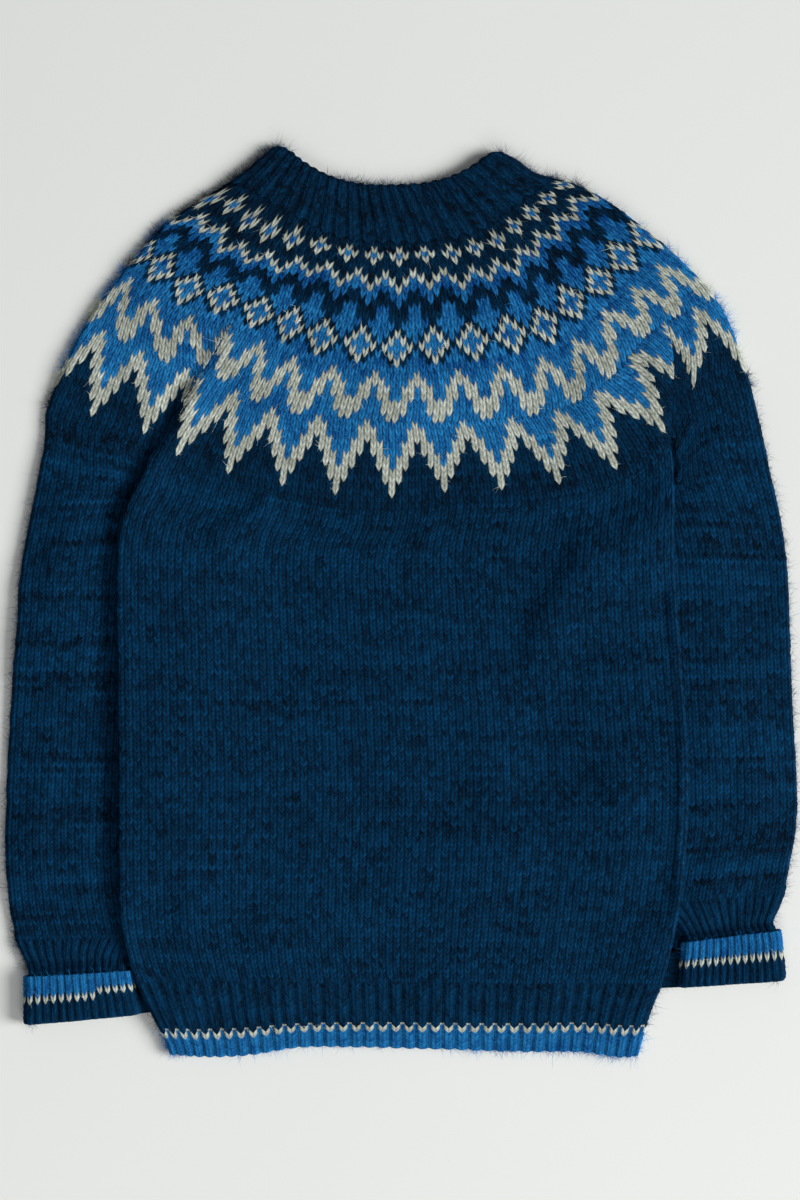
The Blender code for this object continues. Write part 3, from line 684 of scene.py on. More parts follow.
class Knit:
    """The grid of one stretch of knitting: columns round the tube and lines along it."""

    def __init__(self, fine, under, lines, row_of_line, total, spread=None):
        """fine: columns on top and round the folds; under: coarser columns on the underside;
        lines: stitch row of each line of the mesh, upwards; total: stitches all round;
        spread: where a column lies, in ribbing."""
        self.fine = spread(fine) if spread else fine
        self.columns = np.concatenate([fine, under])
        self.count = len(fine)
        self.lines = lines[:, None]
        self.row_of_line = row_of_line
        self.total = total

    def rows(self, swing=1.0, slants=slant):
        """Stitch row of each point of the grid, with the lines slanted by a share."""
        return self.lines + slants(self.columns)[None, :] * swing

    def round(self, place, ends, pitches, rows, radius, height, lifted=False, rise=0.0,
              folds=(), slip=None, troughs=1.0):
        """Points of the tube.

        A column between the two fold centres lies on top, a radius above the middle. Past a
        fold centre it goes round a half circle of that radius and then on below, back under
        the same plan. Height is added outwards and fades out below the fold's middle. The puff
        beside the armholes and the creases of the table folds raise or lower the top, and the
        folds by their share of the turn.
        slip is a side, 0 left or 1 right, and how far the lower layer reaches out there, in
        metres for each line; it grows with the square of the turn past the fold's middle.
        troughs is the share of the depth that the troughs keep at each line.
        """
        line = rows.mean(axis=1, keepdims=True)
        first, last = ends(rows[:, :self.count])
        left_pitch, right_pitch = pitches(line)
        past_left = np.maximum(first - self.fine, 0.0) * left_pitch
        past_right = np.maximum(self.fine - last, 0.0) * right_pitch
        angle = np.minimum((past_left + past_right) / radius, np.pi)
        half_turn = np.pi * radius
        inside = np.clip(self.fine, first, last)
        inside = inside + np.maximum(past_left - half_turn, 0.0) / left_pitch
        inside = inside - np.maximum(past_right - half_turn, 0.0) / right_pitch
        side = np.sign(past_right - past_left)
        below = self.columns[self.count:]
        span = self.fine[0] + self.total - self.fine[-1]
        share = (below - self.fine[-1]) / span
        under = inside[:, -1:] * (1 - share) + inside[:, :1] * share
        inside = np.concatenate([inside, under], axis=1)
        angle = np.concatenate([angle, np.full(under.shape, np.pi)], axis=1)
        side = np.concatenate([side, np.ones(under.shape)], axis=1)
        first_line, last_line = ends(line)
        outward = []
        for end, inner in ((first_line, first_line + 0.5), (last_line, last_line - 0.5)):
            out = to_plan(place(end, line)) - to_plan(place(inner, line))
            outward.append(out / np.linalg.norm(out, axis=-1, keepdims=True))
        out = np.where(side[..., None] < 0, outward[0], outward[1])
        pixels = place(inside, rows)
        plan = to_plan(pixels)
        middle = FOLD_RADIUS + rise
        if lifted:
            middle = middle + side_lift(pixels)
        top_share = (1 + np.cos(angle)) / 2
        height = height * np.minimum(2 * top_share, 1.0)
        reach = (radius + height) * np.sin(angle)
        points = np.empty((*plan.shape[:2], 3))
        points[..., :2] = plan + out * reach[..., None]
        points[..., 2] = middle + (radius + height) * np.cos(angle)
        crease = creases(pixels, folds)
        crease = np.where(crease < 0, crease * troughs, crease)
        points[..., 2] += (valley_puff(pixels) + crease) * top_share
        if slip:
            slip_side, reach_out = slip
            past_middle = np.clip(2 * angle / np.pi - 1, 0, 1) ** 2
            near = np.where(side == 2 * slip_side - 1, 1.0, 0.0)
            near[:, self.count:] = (share if slip_side == 0 else 1 - share)[None, :] ** 4
            moved = outward[slip_side] * (reach_out * past_middle * near)[..., None]
            points[..., :2] += moved
        return points

    def corners(self, rows):
        """Column and row of the four corners of each face, for its map."""
        columns = np.append(self.columns, self.columns[0] + self.total)
        rows = np.concatenate([rows, rows[:, :1]], axis=1)
        wide = np.broadcast_to(columns, rows.shape)
        grid = np.stack([wide, rows], axis=-1)
        return np.stack([grid[:-1, :-1], grid[:-1, 1:], grid[1:, 1:], grid[1:, :-1]], axis=2)

    def middles(self):
        """Column and row at the middle of each face, rows as whole stitch rows."""
        columns = np.append(self.columns, self.columns[0] + self.total)
        across = (columns[1:] + columns[:-1]) / 2
        rows = self.row_of_line[:-1]
        shape = (len(rows), len(across))
        return np.broadcast_to(across, shape), np.broadcast_to(rows[:, None], shape)


def quads_of(lines, columns, start, downward):
    """Faces of a grid whose last column joins the first, facing outwards."""
    here = np.arange(columns)
    after = np.roll(here, -1)
    base = start + np.arange(lines - 1)[:, None] * columns
    quads = np.stack([base + here, base + after, base + columns + after, base + columns + here], -1)
    quads = quads.reshape(-1, 4)
    return quads[:, [0, 3, 2, 1]] if downward else quads


def knit_object(name, stretches, material, downward=False):
    """One mesh of one or more stretches: (points, corner map, yarn of each face, relief and painted
    shade).
    """
    start = 0
    quads = []
    for points, _, _, _ in stretches:
        quads.append(quads_of(points.shape[0], points.shape[1], start, downward))
        start += points.shape[0] * points.shape[1]
    quads = np.concatenate(quads)
    points = np.concatenate([stretch[0].reshape(-1, 3) for stretch in stretches])
    maps = np.concatenate([stretch[1].reshape(-1, 4, 2) for stretch in stretches])
    yarn = np.concatenate([stretch[2].reshape(-1, 3) for stretch in stretches])
    relief_and_painted_shade = np.concatenate([stretch[3].ravel() for stretch in stretches])
    if downward:
        maps = maps[:, [0, 3, 2, 1]]
    thing = mesh_object(name, points, quads, maps, yarn, relief_and_painted_shade, material)
    thing.data.shade_smooth()
    thing.data.validate()
    return thing


def mesh_object(name, points, faces, maps, yarn, relief_and_painted_shade, material):
    """A mesh of faces with the same number of corners: the map of each corner, the yarn of each
    face and the relief of each point, which the material turns into painted shade, are stored on it."""
    corners = faces.shape[1]
    mesh = bpy.data.meshes.new(name)
    mesh.vertices.add(len(points))
    mesh.vertices.foreach_set("co", points.astype(np.float32).ravel())
    mesh.loops.add(faces.size)
    mesh.loops.foreach_set("vertex_index", faces.astype(np.int32).ravel())
    mesh.polygons.add(len(faces))
    mesh.polygons.foreach_set("loop_start", np.arange(0, faces.size, corners, dtype=np.int32))
    mesh.update(calc_edges=True)
    stitches = mesh.uv_layers.new(name="stitches")
    stitches.data.foreach_set("uv", maps.astype(np.float32).ravel())
    colours = mesh.color_attributes.new("yarn", "FLOAT_COLOR", "CORNER")
    paint = np.repeat(np.concatenate([yarn, np.ones((len(yarn), 1))], axis=1), corners, axis=0)
    colours.data.foreach_set("color", paint.astype(np.float32).ravel())
    relief_and_shade_layer = mesh.attributes.new("relief_and_painted_shade", "FLOAT", "POINT")
    relief_and_shade_layer.data.foreach_set("value", relief_and_painted_shade.astype(np.float32))
    mesh.materials.append(material)
    thing = bpy.data.objects.new(name, mesh)
    bpy.context.scene.collection.objects.link(thing)
    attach(thing, "root")
    return thing


def yarn_tone(column, row, seed, streak):
    """How light the yarn is, about 0.5: long streaks along a row, as the yarn was dyed, short
    ones, and a value of its own for each leg of a stitch."""
    tone = 0.5
    for index, (stitches, rows, share) in enumerate(STREAKS):
        tone = tone + streak * share * lattice_noise(column / stitches, row * rows, seed + index)
    tone = tone + STITCH_TONE * cell_noise(column + 0.5, row, seed + 2)
    tone = tone + LEG_TONE * cell_noise(2 * column + 1, row, seed + 3)
    return np.clip(tone, 0.0, 1.0)


def rib_tone(column, row, seed, dark):
    """How light the yarn of ribbing is: patches along a rib, a value of its own for each leg,
    and faint streaks."""
    tone = 0.5 - dark
    for index, (columns, rows, strength) in ((0, RIB_PATCHES), (2, RIB_STREAKS)):
        tone = tone + strength * lattice_noise(column / columns, row / rows, seed + index)
    tone = tone + LEG_TONE * cell_noise(2 * column + 1, row, seed + 1)
    return np.clip(tone, 0.0, 1.0)


def uneven(points, column, row, seed, amount):
    """Hand knitting isn't even: stitches wander a little from their places, in the plan."""
    for axis in (0, 1):
        wander = 0.0
        for index, (stitches, rows, share) in enumerate(WANDER_WAVES):
            place = column / stitches + WANDER_SHIFT * index
            wander = wander + share * lattice_noise(place, row / rows, seed + 5 * index + axis)
        points[..., axis] += amount * wander
    return points


def make_yoke(material):
    """The patterned yoke, band by band, with fewer stitches in each band upwards."""
    stretches = []
    for index, (first_row, stitches, off, chart) in enumerate(CHART):
        half = np.round(YOKE_HALF_REPEATS * stitches)
        fine = np.arange(-half, half + COLUMN / 2, COLUMN) - off * stitches
        total = REPEATS_ROUND * stitches
        step = YOKE_UNDER_STEP
        under = np.arange(fine[-1] + step, fine[0] + total - step / 2, step)
        top_row = first_row + len(chart)
        lines = np.arange(first_row, top_row + LINE / 2, LINE)
        lines = np.append(lines, top_row + TUCK_ROWS)
        stitch_row = np.minimum(np.floor(lines + LINE / 2), top_row - 1)
        depth = join_depths(len(lines))[::-1]
        knit = Knit(fine, under, lines, stitch_row, total)
        rows = knit.rows()

        def repeat_of(column):
            return column / stitches + off

        def ends(row):
            hidden_left, hidden_right = hidden_repeats(row)
            left_pitch, right_pitch = pitches(row)
            first = np.interp(row, YOKE_KNOTS, YOKE_FIRST) - hidden_left
            last = np.interp(row, YOKE_KNOTS, YOKE_LAST) + hidden_right
            first = (first - off) * stitches + FOLD_RADIUS / left_pitch
            last = (last - off) * stitches - FOLD_RADIUS / right_pitch
            return first, last

        def pitches(row):
            sizes = []
            for a, b in ((0, 1), (-1, -2)):
                steps = [np.linalg.norm(t[2][a] - t[2][b]) / abs(t[1][a] - t[1][b])
                         for t in YOKE_TABLES]
                sizes.append(np.interp(row, YOKE_KNOTS, steps) * PIXEL / stitches)
            return sizes

        def place(column, row):
            part, share, _ = yoke_share(repeat_of(column), row)
            return yoke_place(part, share, row)

        relief_and_painted_shade = leg_height(knit.columns[None, :], row_share(lines))
        _, _, depths = yoke_share(repeat_of(knit.columns)[None, :], rows)
        size = stitch_size(knit.columns, rows, YOKE_SIZE_SEED + index)
        height = LEG_HEIGHT * relief_and_painted_shade * size - depth[:, None] - PLEAT_DEPTH * depths
        points = knit.round(place, ends, pitches, rows, FOLD_RADIUS, height, folds=YOKE_CREASES)
        points = uneven(points, knit.columns[None, :] + 0 * rows, rows, WANDER_SEED + index, WANDER)
        column, row = knit.middles()
        letters = np.array([list(line) for line in chart])
        middle = (stitches - 1) // 2
        cell = (np.floor(column + 0.5).astype(int) + middle) % stitches
        letter = letters[(row - first_row).astype(int), cell]
        tone = yarn_tone(column, row, YOKE_TONE_SEED + index, YOKE_STREAK)
        tone = tone - YOKE_TONE_FALL * np.clip((row - TONE_FALL_ROWS[0]) / TONE_FALL_ROWS[1], 0, 1)
        yarn = np.stack([letter == "b", letter == "c", tone], axis=-1).astype(float)
        # Painted shade: darker in the grooves, and darker still on the stitches hidden in a crease
        hidden = np.clip(PLEAT_PAINTED_SHADE_RATE * depths, 0, PLEAT_PAINTED_SHADE_MOST)
        shade = np.clip(relief_and_painted_shade, 0, 1) * (1 - hidden)
        stretches.append((points, knit.corners(rows), yarn, shade))
    thing = knit_object("yoke_knit", stretches, material)
    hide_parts("yoke")
    return thing, stretches


def make_hanging(name, node, material, table, part, rows_down, bow_rows, columns, ends, seed,
                 streak, lifted, under_step):
    """Body and sleeves: plain knitting from the join down, whose columns go on from the yoke's.

    columns: first and last fine column and the stitches all round; ends(row) gives the fold
    columns; a column's share of the width is its place between them.
    """
    first_fine, last_fine, total = columns

    def top(across):
        return yoke_place(np.full(np.shape(across), part), across, JOIN_ROW)

    def by_station(station, across):
        return hanging_place(table, top, bow_rows, station, across)

    stations = even_stations(by_station, rows_down, len(table) - 1.0)
    stations = np.append(stations, 2 * stations[-1] - stations[-2])

    def station_of(row):
        return np.interp(JOIN_ROW - row, np.arange(len(stations)), stations)

    def place(column, row):
        first, last = ends(station_of(row))
        across = (column - first) / (last - first)
        above = yoke_place(np.full(np.shape(across), part), across, np.maximum(row, JOIN_ROW))
        hanging = by_station(station_of(row), across)
        return np.where((row > JOIN_ROW)[..., None], above, hanging)

    table = np.array(table, float)

    def widths(row):
        sides = smooth_curve(np.arange(len(table)), table, station_of(row))
        return np.linalg.norm(sides[..., :2] - sides[..., 2:], axis=-1) * PIXEL

    def pitches(row):
        first, last = ends(station_of(row))
        pitch = widths(row) / np.abs(last - first)
        return pitch, pitch

    def fold_ends(row):
        first, last = ends(station_of(row))
        pitch = pitches(row)[0]
        return first + FOLD_RADIUS / pitch, last - FOLD_RADIUS / pitch

    fine = np.arange(first_fine, last_fine + COLUMN / 2, COLUMN)
    under = np.arange(last_fine + under_step, first_fine + total - under_step / 2, under_step)
    lines = JOIN_ROW - np.arange(0, rows_down + LINE / 2, LINE)
    lines = np.append(JOIN_ROW + TUCK_ROWS, lines)
    knit = Knit(fine, under, lines, np.floor(lines - LINE / 2), total)
    rows = knit.rows()
    relief_and_painted_shade = leg_height(knit.columns[None, :], row_share(lines))
    relief_and_painted_shade[:, knit.count:] = UNDER_RELIEF
    size = stitch_size(knit.columns, rows, seed + SIZE_SEED)
    height = LEG_HEIGHT * relief_and_painted_shade * size - join_depths(len(lines))[:, None]
    folds = YOKE_CREASES + (BODY_CREASES if lifted else SLEEVE_CREASES)
    points = knit.round(place, fold_ends, pitches, rows, FOLD_RADIUS, height, lifted, folds=folds)
    points = uneven(points, knit.columns[None, :] + 0 * rows, rows, WANDER_SEED, WANDER)
    column, row = knit.middles()
    tone = yarn_tone(column, row, seed + TONE_SEED, streak)
    none = np.zeros(tone.shape)
    yarn = np.stack([none, none, tone], axis=-1)
    # The relief is also stored as the painted shade of the grooves
    stretch = (points, knit.corners(rows), yarn, np.clip(relief_and_painted_shade, 0, 1))
    thing = knit_object(name, [stretch], material, downward=True)
    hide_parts(node)
    return thing, [stretch]


def make_body(material):
    """The plain tube of the body, whose folds keep the columns that they have at the yoke."""
    first = LEFT_CREASE * STITCHES_A_REPEAT
    last = RIGHT_CREASE[0][1] * STITCHES_A_REPEAT

    def ends(station):
        return np.full(np.shape(station), first), np.full(np.shape(station), last)

    columns = (np.floor(first) - 1.0, np.ceil(last) + 1.0, BODY_STITCHES)
    return make_hanging("body_knit", "body", material, BODY_SIDES, 1, BODY_ROWS, BODY_BOW_ROWS,
                        columns, ends, BODY_SEED, BODY_STREAK, True, BODY_UNDER_STEP)


def make_sleeve(name, node, material, table, part, rows_down, seed):
    """The outer fold keeps its column, and the inner one moves with the sleeve's width."""
    sides = np.array(table, float)
    widths = np.linalg.norm(sides[:, :2] - sides[:, 2:], axis=1)
    hidden_left, hidden_right = hidden_repeats(JOIN_ROW)
    outer = YOKE_FIRST[0] - hidden_left
    at_join = LEFT_CREASE - YOKE_FIRST[0]
    if part == 2:
        outer = YOKE_LAST[0] + hidden_right
        at_join = YOKE_LAST[0] - RIGHT_CREASE[0][1]
    outer *= STITCHES_A_REPEAT
    at_join *= STITCHES_A_REPEAT
    stations = np.arange(len(table))
    counts = widths / SLEEVE_STITCH
    blend = soft_step(stations / SLEEVE_BLEND)
    counts = at_join * (1 - blend) + counts * blend

    def ends(station):
        count = smooth_curve(stations, counts, station)
        if part == 2:
            return outer - count, np.full(np.shape(station), outer)
        return np.full(np.shape(station), outer), outer + count

    widest = np.ceil(counts.max()) + 1
    first_fine = np.floor(outer) - OUTER_SPARE + 0.5
    if part == 2:
        first_fine = np.floor(outer - widest) + 0.5
        table = swapped(table)
    columns = (first_fine, first_fine + widest + INNER_SPARE, 2 * widest + ROUND_SPARE)
    return make_hanging(name, node, material, table, part, rows_down, SLEEVE_BOW_ROWS,
                        columns, ends, seed, SLEEVE_STREAK, False, SLEEVE_UNDER_STEP)


def rim_lines(first_row, count, step):
    """Rows and radii of an open edge: a line tucked under the neighbour, plain rows, half a turn
    over the wall, then inside."""
    turn = np.radians(RIM_ANGLES + (RIM_END,))
    middle = (FOLD_RADIUS + INNER_RADIUS) / 2
    reach = (FOLD_RADIUS - INNER_RADIUS) / 2
    rows = np.append(-TUCK_ROWS, np.arange(0, count - RIM_ROWS, LINE))
    radii = np.full(len(rows), FOLD_RADIUS)
    rows = np.concatenate([rows, count - RIM_ROWS * (1 - np.cos(turn)), [count - INSIDE_ROWS]])
    radii = np.concatenate([radii, middle - reach * np.sin(turn), [INNER_RADIUS]])
    return first_row + step * rows, radii


def make_ribbing(place, ribs, rows, radii, depth, bands, seed, dark, edge=None, lifted=False,
                 rise=None, jog=None, slip=None, folds=(), open_edge=False):
    """A ribbed tube. rows and radii belong to its lines; bands gives the colour of a row as
    (row from here on, letter); dark shifts its tone; edge is the row of the cast-off edge and
    the way it faces, 1 up or -1 down; past the column jog the colours stand a row higher, as
    where one round of knitting ends and the next begins. rise gives how far a row is raised.
    slip is a side and how far the lower layer reaches out there at a row, and that part is
    navy. folds are the creases, whose troughs fade out towards the edge if it is an open one."""
    width = 2 * ribs
    fine = np.arange(-0.5 - FOLD_STITCHES, width - 0.5 + FOLD_STITCHES + COLUMN / 2, COLUMN)
    under = np.arange(fine[-1] + 1.0, fine[0] + 2 * width - 0.5, 1.0)
    knit = Knit(fine, under, rows, np.floor(rows + ROUND_OFF), 2 * width, rib_place)
    outer = radii == radii.max()
    grid = knit.rows(outer[:, None] * 1.0, rib_slant)
    if edge:
        at_edge = np.exp(-((rows - edge[0]) / EDGE_WAVE_ROWS) ** 2)
        grid = grid + edge[1] * EDGE_WAVE * np.cos(np.pi * knit.columns) * at_edge[:, None]

    def ends(row):
        inset = FOLD_RADIUS / pitches(row)[0]
        return -0.5 + inset, width - 0.5 - inset

    def pitches(row):
        left = place(np.full(np.shape(row), -0.5), row)
        right = place(np.full(np.shape(row), width - 0.5), row)
        pitch = np.linalg.norm(right - left, axis=-1) * PIXEL / width
        return pitch, pitch

    along = row_share(rows)
    height = rib_height(knit.columns[None, :], along)
    # Painted shade: darker between the two legs of a stitch and between the ribs
    legs = LEG_DARKEST + (1 - LEG_DARKEST) * leg_height(knit.columns[None, :], along, 0.0)
    rib_painted_shade = RIB_DARKEST + (1 - RIB_DARKEST) * rib_ridge(knit.columns) ** RIDGE_ROUNDING
    shade = rib_painted_shade[None, :] * legs
    outside = np.clip((radii - INNER_RADIUS) / WALL, 0.0, 1.0)[:, None] ** 2
    height = height * outside - depth[:, None]
    reach = (slip[0], slip[1](rows)[:, None]) if slip else None
    troughs = soft_step(np.abs(rows - edge[0]) / CALM_ROWS)[:, None] if open_edge else 1.0
    points = knit.round(place, ends, pitches, grid, radii[:, None], height, lifted,
                        0.0 if rise is None else rise(grid), folds, reach, troughs)
    points = uneven(points, knit.columns[None, :] + 0 * grid, grid, seed, RIB_WANDER)
    column, row = knit.middles()
    tone = rib_tone(column, row, seed + TONE_SEED, dark)
    starts = np.array([band[0] for band in bands])
    letters = np.array([band[1] for band in bands])
    colour_row = row - (column > jog) if jog else row

    def colour_of(row):
        return letters[np.clip(np.searchsorted(starts, row, side="right") - 1, 0, None)]

    letter = colour_of(colour_row)
    lower = colour_of(colour_row - 1)
    purled = ~is_plain(column)
    letter = np.where(purled & (letter == "c"), lower, letter)
    start_of_row = row_share(rows[:-1]) < BUMP_PART
    letter = np.where(purled & (lower == "c") & start_of_row, "c", letter)
    if slip:
        pitch = pitches(rows[None, :])[0].min()
        past = 0.5 + (TUCK_COLOUR_TURN * radii.max() - FOLD_RADIUS) / pitch
        hidden = column > fine[-1]
        hidden = hidden | (column < -past if slip[0] == 0 else column > width - 1 + past)
        letter = np.where(hidden, "n", letter)
    yarn = np.stack([letter == "b", letter == "c", tone], axis=-1).astype(float)
    return (points, knit.corners(grid), yarn, shade)


def make_hem(material):
    """Ribbing below the body, drawn in most near its sides, with a wavy lower edge."""
    wave = np.array(HEM_WAVE, float)
    table = np.array(HEM_SIDES, float)
    width = 2 * HEM_RIBS

    def place(column, row):
        across = np.clip((column + 0.5) / width, -HEM_BEYOND, 1 + HEM_BEYOND)
        station = -row / HEM_ROWS * (len(table) - 1)
        sides = smooth_curve(np.arange(len(table)), table, station)
        points = blend_sides(sides[..., :2], sides[..., 2:], across)
        moved = sides - table[0]
        even = moved[..., 0] * (1 - across) + moved[..., 2] * across
        near_left = np.exp(-np.maximum(across, 0) / HEM_DRAW)
        near_right = np.exp(-np.maximum(1 - across, 0) / HEM_DRAW)
        points[..., 0] += moved[..., 0] * near_left + moved[..., 2] * near_right - even
        rise = smooth_curve(wave[:, 0], wave[:, 1], np.clip(across, 0, 1))
        points[..., 1] -= rise * station / (len(table) - 1)
        return points

    rows, radii = rim_lines(0.0, HEM_ROWS, -1.0)
    depth = join_depths(len(rows))
    stretch = make_ribbing(place, HEM_RIBS, rows, radii, depth, HEM_BANDS, HEM_SEED, HEM_DARK,
                           edge=(-HEM_ROWS, -1), lifted=True, folds=YOKE_CREASES + BODY_CREASES,
                           open_edge=True)
    thing = knit_object("hem_knit", [stretch], material, downward=True)
    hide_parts("hem_rib")
    return thing, [stretch]


def neck_base(count=400):
    """Picture points along the upper row of the yoke, evenly spaced."""
    repeats = np.linspace(YOKE_FIRST[-1], YOKE_LAST[-1], count)
    part, share, _ = yoke_share(repeats, NECK_ROW)
    points = yoke_place(part, share, NECK_ROW)
    steps = np.linalg.norm(np.diff(points, axis=0), axis=1)
    along = np.concatenate([[0.0], np.cumsum(steps)])
    even = np.linspace(0.0, along[-1], count)
    return np.stack([np.interp(even, along, points[:, 0]), np.interp(even, along, points[:, 1])], 1)


def make_neckband(material):
    """Ribbing above the yoke: the flattened cone gives its upper edge a hollow curve."""
    base = neck_base()
    places = np.linspace(0.0, 1.0, len(base))
    top = np.array(NECK_TOP, float)
    sides = np.array(NECK_SIDES, float)
    width = 2 * NECK_RIBS

    def place(column, row):
        across = np.clip((column + 0.5) / width, 0.0, 1.0)
        share = (row - NECK_ROW) / NECK_ROWS
        low = np.stack([np.interp(across, places, base[:, k]) for k in (0, 1)], axis=-1)
        high = smooth_curve(top[:, 0], top[:, 1:], across)
        points = blend_sides(low, high, share + 0 * across)
        edges = smooth_curve(sides[:, 0], sides[:, 1:], share)
        plain = share[..., None] if np.ndim(share) else share
        first = base[0] * (1 - plain) + top[0, 1:] * plain
        last = base[-1] * (1 - plain) + top[-1, 1:] * plain
        pull = np.abs(2 * across[..., None] - 1) ** NECK_PULL
        shift = np.where(across[..., None] < 0.5, edges[..., :2] - first, edges[..., 2:] - last)
        return points + pull * shift

    rows, radii = rim_lines(NECK_ROW, NECK_ROWS, 1.0)
    rows = rows[1:]
    radii = radii[1:]
    depth = np.zeros(len(rows))
    stretch = make_ribbing(place, NECK_RIBS, rows, radii, depth, ((0, "n"),), NECK_SEED,
                           NECK_TONE_FALL, edge=(NECK_ROW + NECK_ROWS, 1), open_edge=True)
    thing = knit_object("neckband_knit", [stretch], material)
    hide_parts("neckband")
    return thing, [stretch]


def swapped(table):
    """A table of (outer fold, inner fold) as (left fold, right fold) for a right-hand piece."""
    return [row[2:] + row[:2] for row in table]


def make_cuff(name, node, material, table, seed, tuck, jog=None):
    """Ribbed sleeve end and, over it, the turned part with its thick cast-off edge, which goes
    round the fold below and up on the inside. tuck is the side next to the body and how far
    the lower layer reaches under the body there, at each station, in picture pixels."""
    table = np.array(table, float)
    last = len(table) - 1.0
    width = 2 * CUFF_RIBS
    step = table[-1, :2] - table[-2, :2]
    station_length = np.linalg.norm(step) * PIXEL

    def at(column, station):
        across = (column + 0.5) / width
        sides = smooth_curve(np.arange(len(table)), table, np.minimum(station, last))
        points = blend_sides(sides[..., :2], sides[..., 2:], across)
        beyond = np.maximum(station - last, 0.0)
        return points + step * beyond[..., None]

    def rise_at(station):
        return (WALL + TURN_GAP) * soft_step((station - CUFF_RISE[0]) / CUFF_RISE[1])

    def tucked(station):
        return PIXEL * np.interp(station, np.arange(len(table)), tuck[1])

    def under_place(column, row):
        return at(column, -row / CUFF_ROWS_A_STATION)

    last_row = (TURN_TOP + TURN_LAP) * CUFF_ROWS_A_STATION
    rows = -np.append(-TUCK_ROWS, np.arange(0, last_row, LINE))
    depth = join_depths(len(rows))
    upper = make_ribbing(under_place, CUFF_RIBS, rows, np.full(len(rows), FOLD_RADIUS), depth,
                         ((-99, "n"),), seed, CUFF_DARK,
                         rise=lambda row: rise_at(-row / CUFF_ROWS_A_STATION),
                         slip=(tuck[0], lambda row: tucked(-row / CUFF_ROWS_A_STATION)),
                         folds=YOKE_CREASES + SLEEVE_CREASES)

    turned_inner = INNER_RADIUS + WALL + TURN_GAP
    turned_outer = turned_inner + WALL
    fold_reach = (turned_outer - INNER_RADIUS) / 2
    fold_middle = (turned_outer + INNER_RADIUS) / 2
    rim_middle = (turned_outer + turned_inner) / 2
    rim_turn = np.radians(RIM_ANGLES)
    fold_turn = np.radians(FOLD_ANGLES)
    turned = np.arange(RIM_ROWS, TURN_ROWS + LINE / 2, LINE)
    rim_rows = RIM_ROWS * (1 - np.cos(rim_turn))
    turned_rows = np.concatenate([[TURN_INSIDE_ROW], rim_rows, turned])
    turned_radii = np.concatenate([[turned_inner], rim_middle + WALL / 2 * np.sin(rim_turn),
                                   np.full(len(turned), turned_outer)])
    beyond = np.cos(fold_turn) * fold_reach / station_length
    row_length = (last - TURN_TOP) / TURN_ROWS
    turned_rows = np.concatenate([turned_rows, TURN_ROWS + beyond / row_length,
                                  [TURN_ROWS, TURN_END_ROW]])
    turned_radii = np.concatenate([turned_radii, fold_middle + fold_reach * np.sin(fold_turn),
                                   [INNER_RADIUS, INNER_RADIUS]])

    def station_of(row):
        return TURN_TOP - row * row_length

    def turned_place(column, row):
        return at(column, station_of(row))

    turned = make_ribbing(turned_place, CUFF_RIBS, -turned_rows, turned_radii,
                          np.zeros(len(turned_rows)), CUFF_BANDS, seed + 5, CUFF_DARK,
                          edge=(0.0, 1), rise=lambda row: rise_at(station_of(row)), jog=jog,
                          slip=(tuck[0], lambda row: tucked(station_of(row))),
                          folds=YOKE_CREASES + SLEEVE_CREASES)
    thing = knit_object(name, [upper, turned], material, downward=True)
    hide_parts(node)
    return thing, [upper, turned]


# Fuzz


def hair_places(stretches, downward, rng, share_at_edge, count, highest):
    """Roots of hairs on the legs of the stitches, outward directions and the yarn they leave.

    A grid's normal is the cross product of its steps across and along. A share of the roots
    is taken at the outline, where the surface turns over below the given height, and the rest
    from the top.
    """
    places = []
    normals = []
    yarns = []
    for points, _, yarn, relief_and_painted_shade in stretches:
        across = points[:-1, 1:] - points[:-1, :-1]
        along = points[1:, :-1] - points[:-1, :-1]
        normal = np.cross(across, along) * (-1 if downward else 1)
        normal /= np.linalg.norm(normal, axis=-1, keepdims=True) + 1e-12
        stands = relief_and_painted_shade[:-1, :-1].ravel() > ROOT_RELIEF
        places.append(points[:-1, :-1].reshape(-1, 3)[stands])
        normals.append(normal.reshape(-1, 3)[stands])
        yarns.append(yarn[:, :-1].reshape(-1, 3)[stands])
    places = np.concatenate(places)
    normals = np.concatenate(normals)
    yarns = np.concatenate(yarns)
    top = np.flatnonzero(normals[:, 2] > LOOKS_UP)
    low = (places[:, 2] > LOWEST_ROOT) & (places[:, 2] < highest)
    edge = np.flatnonzero((np.abs(normals[:, 2]) < LOOKS_ASIDE) & low)
    at_edge = int(count * share_at_edge)
    chosen = np.concatenate([rng.choice(top, count - at_edge), rng.choice(edge, at_edge)])
    return places[chosen], normals[chosen], yarns[chosen], np.arange(count) >= count - at_edge


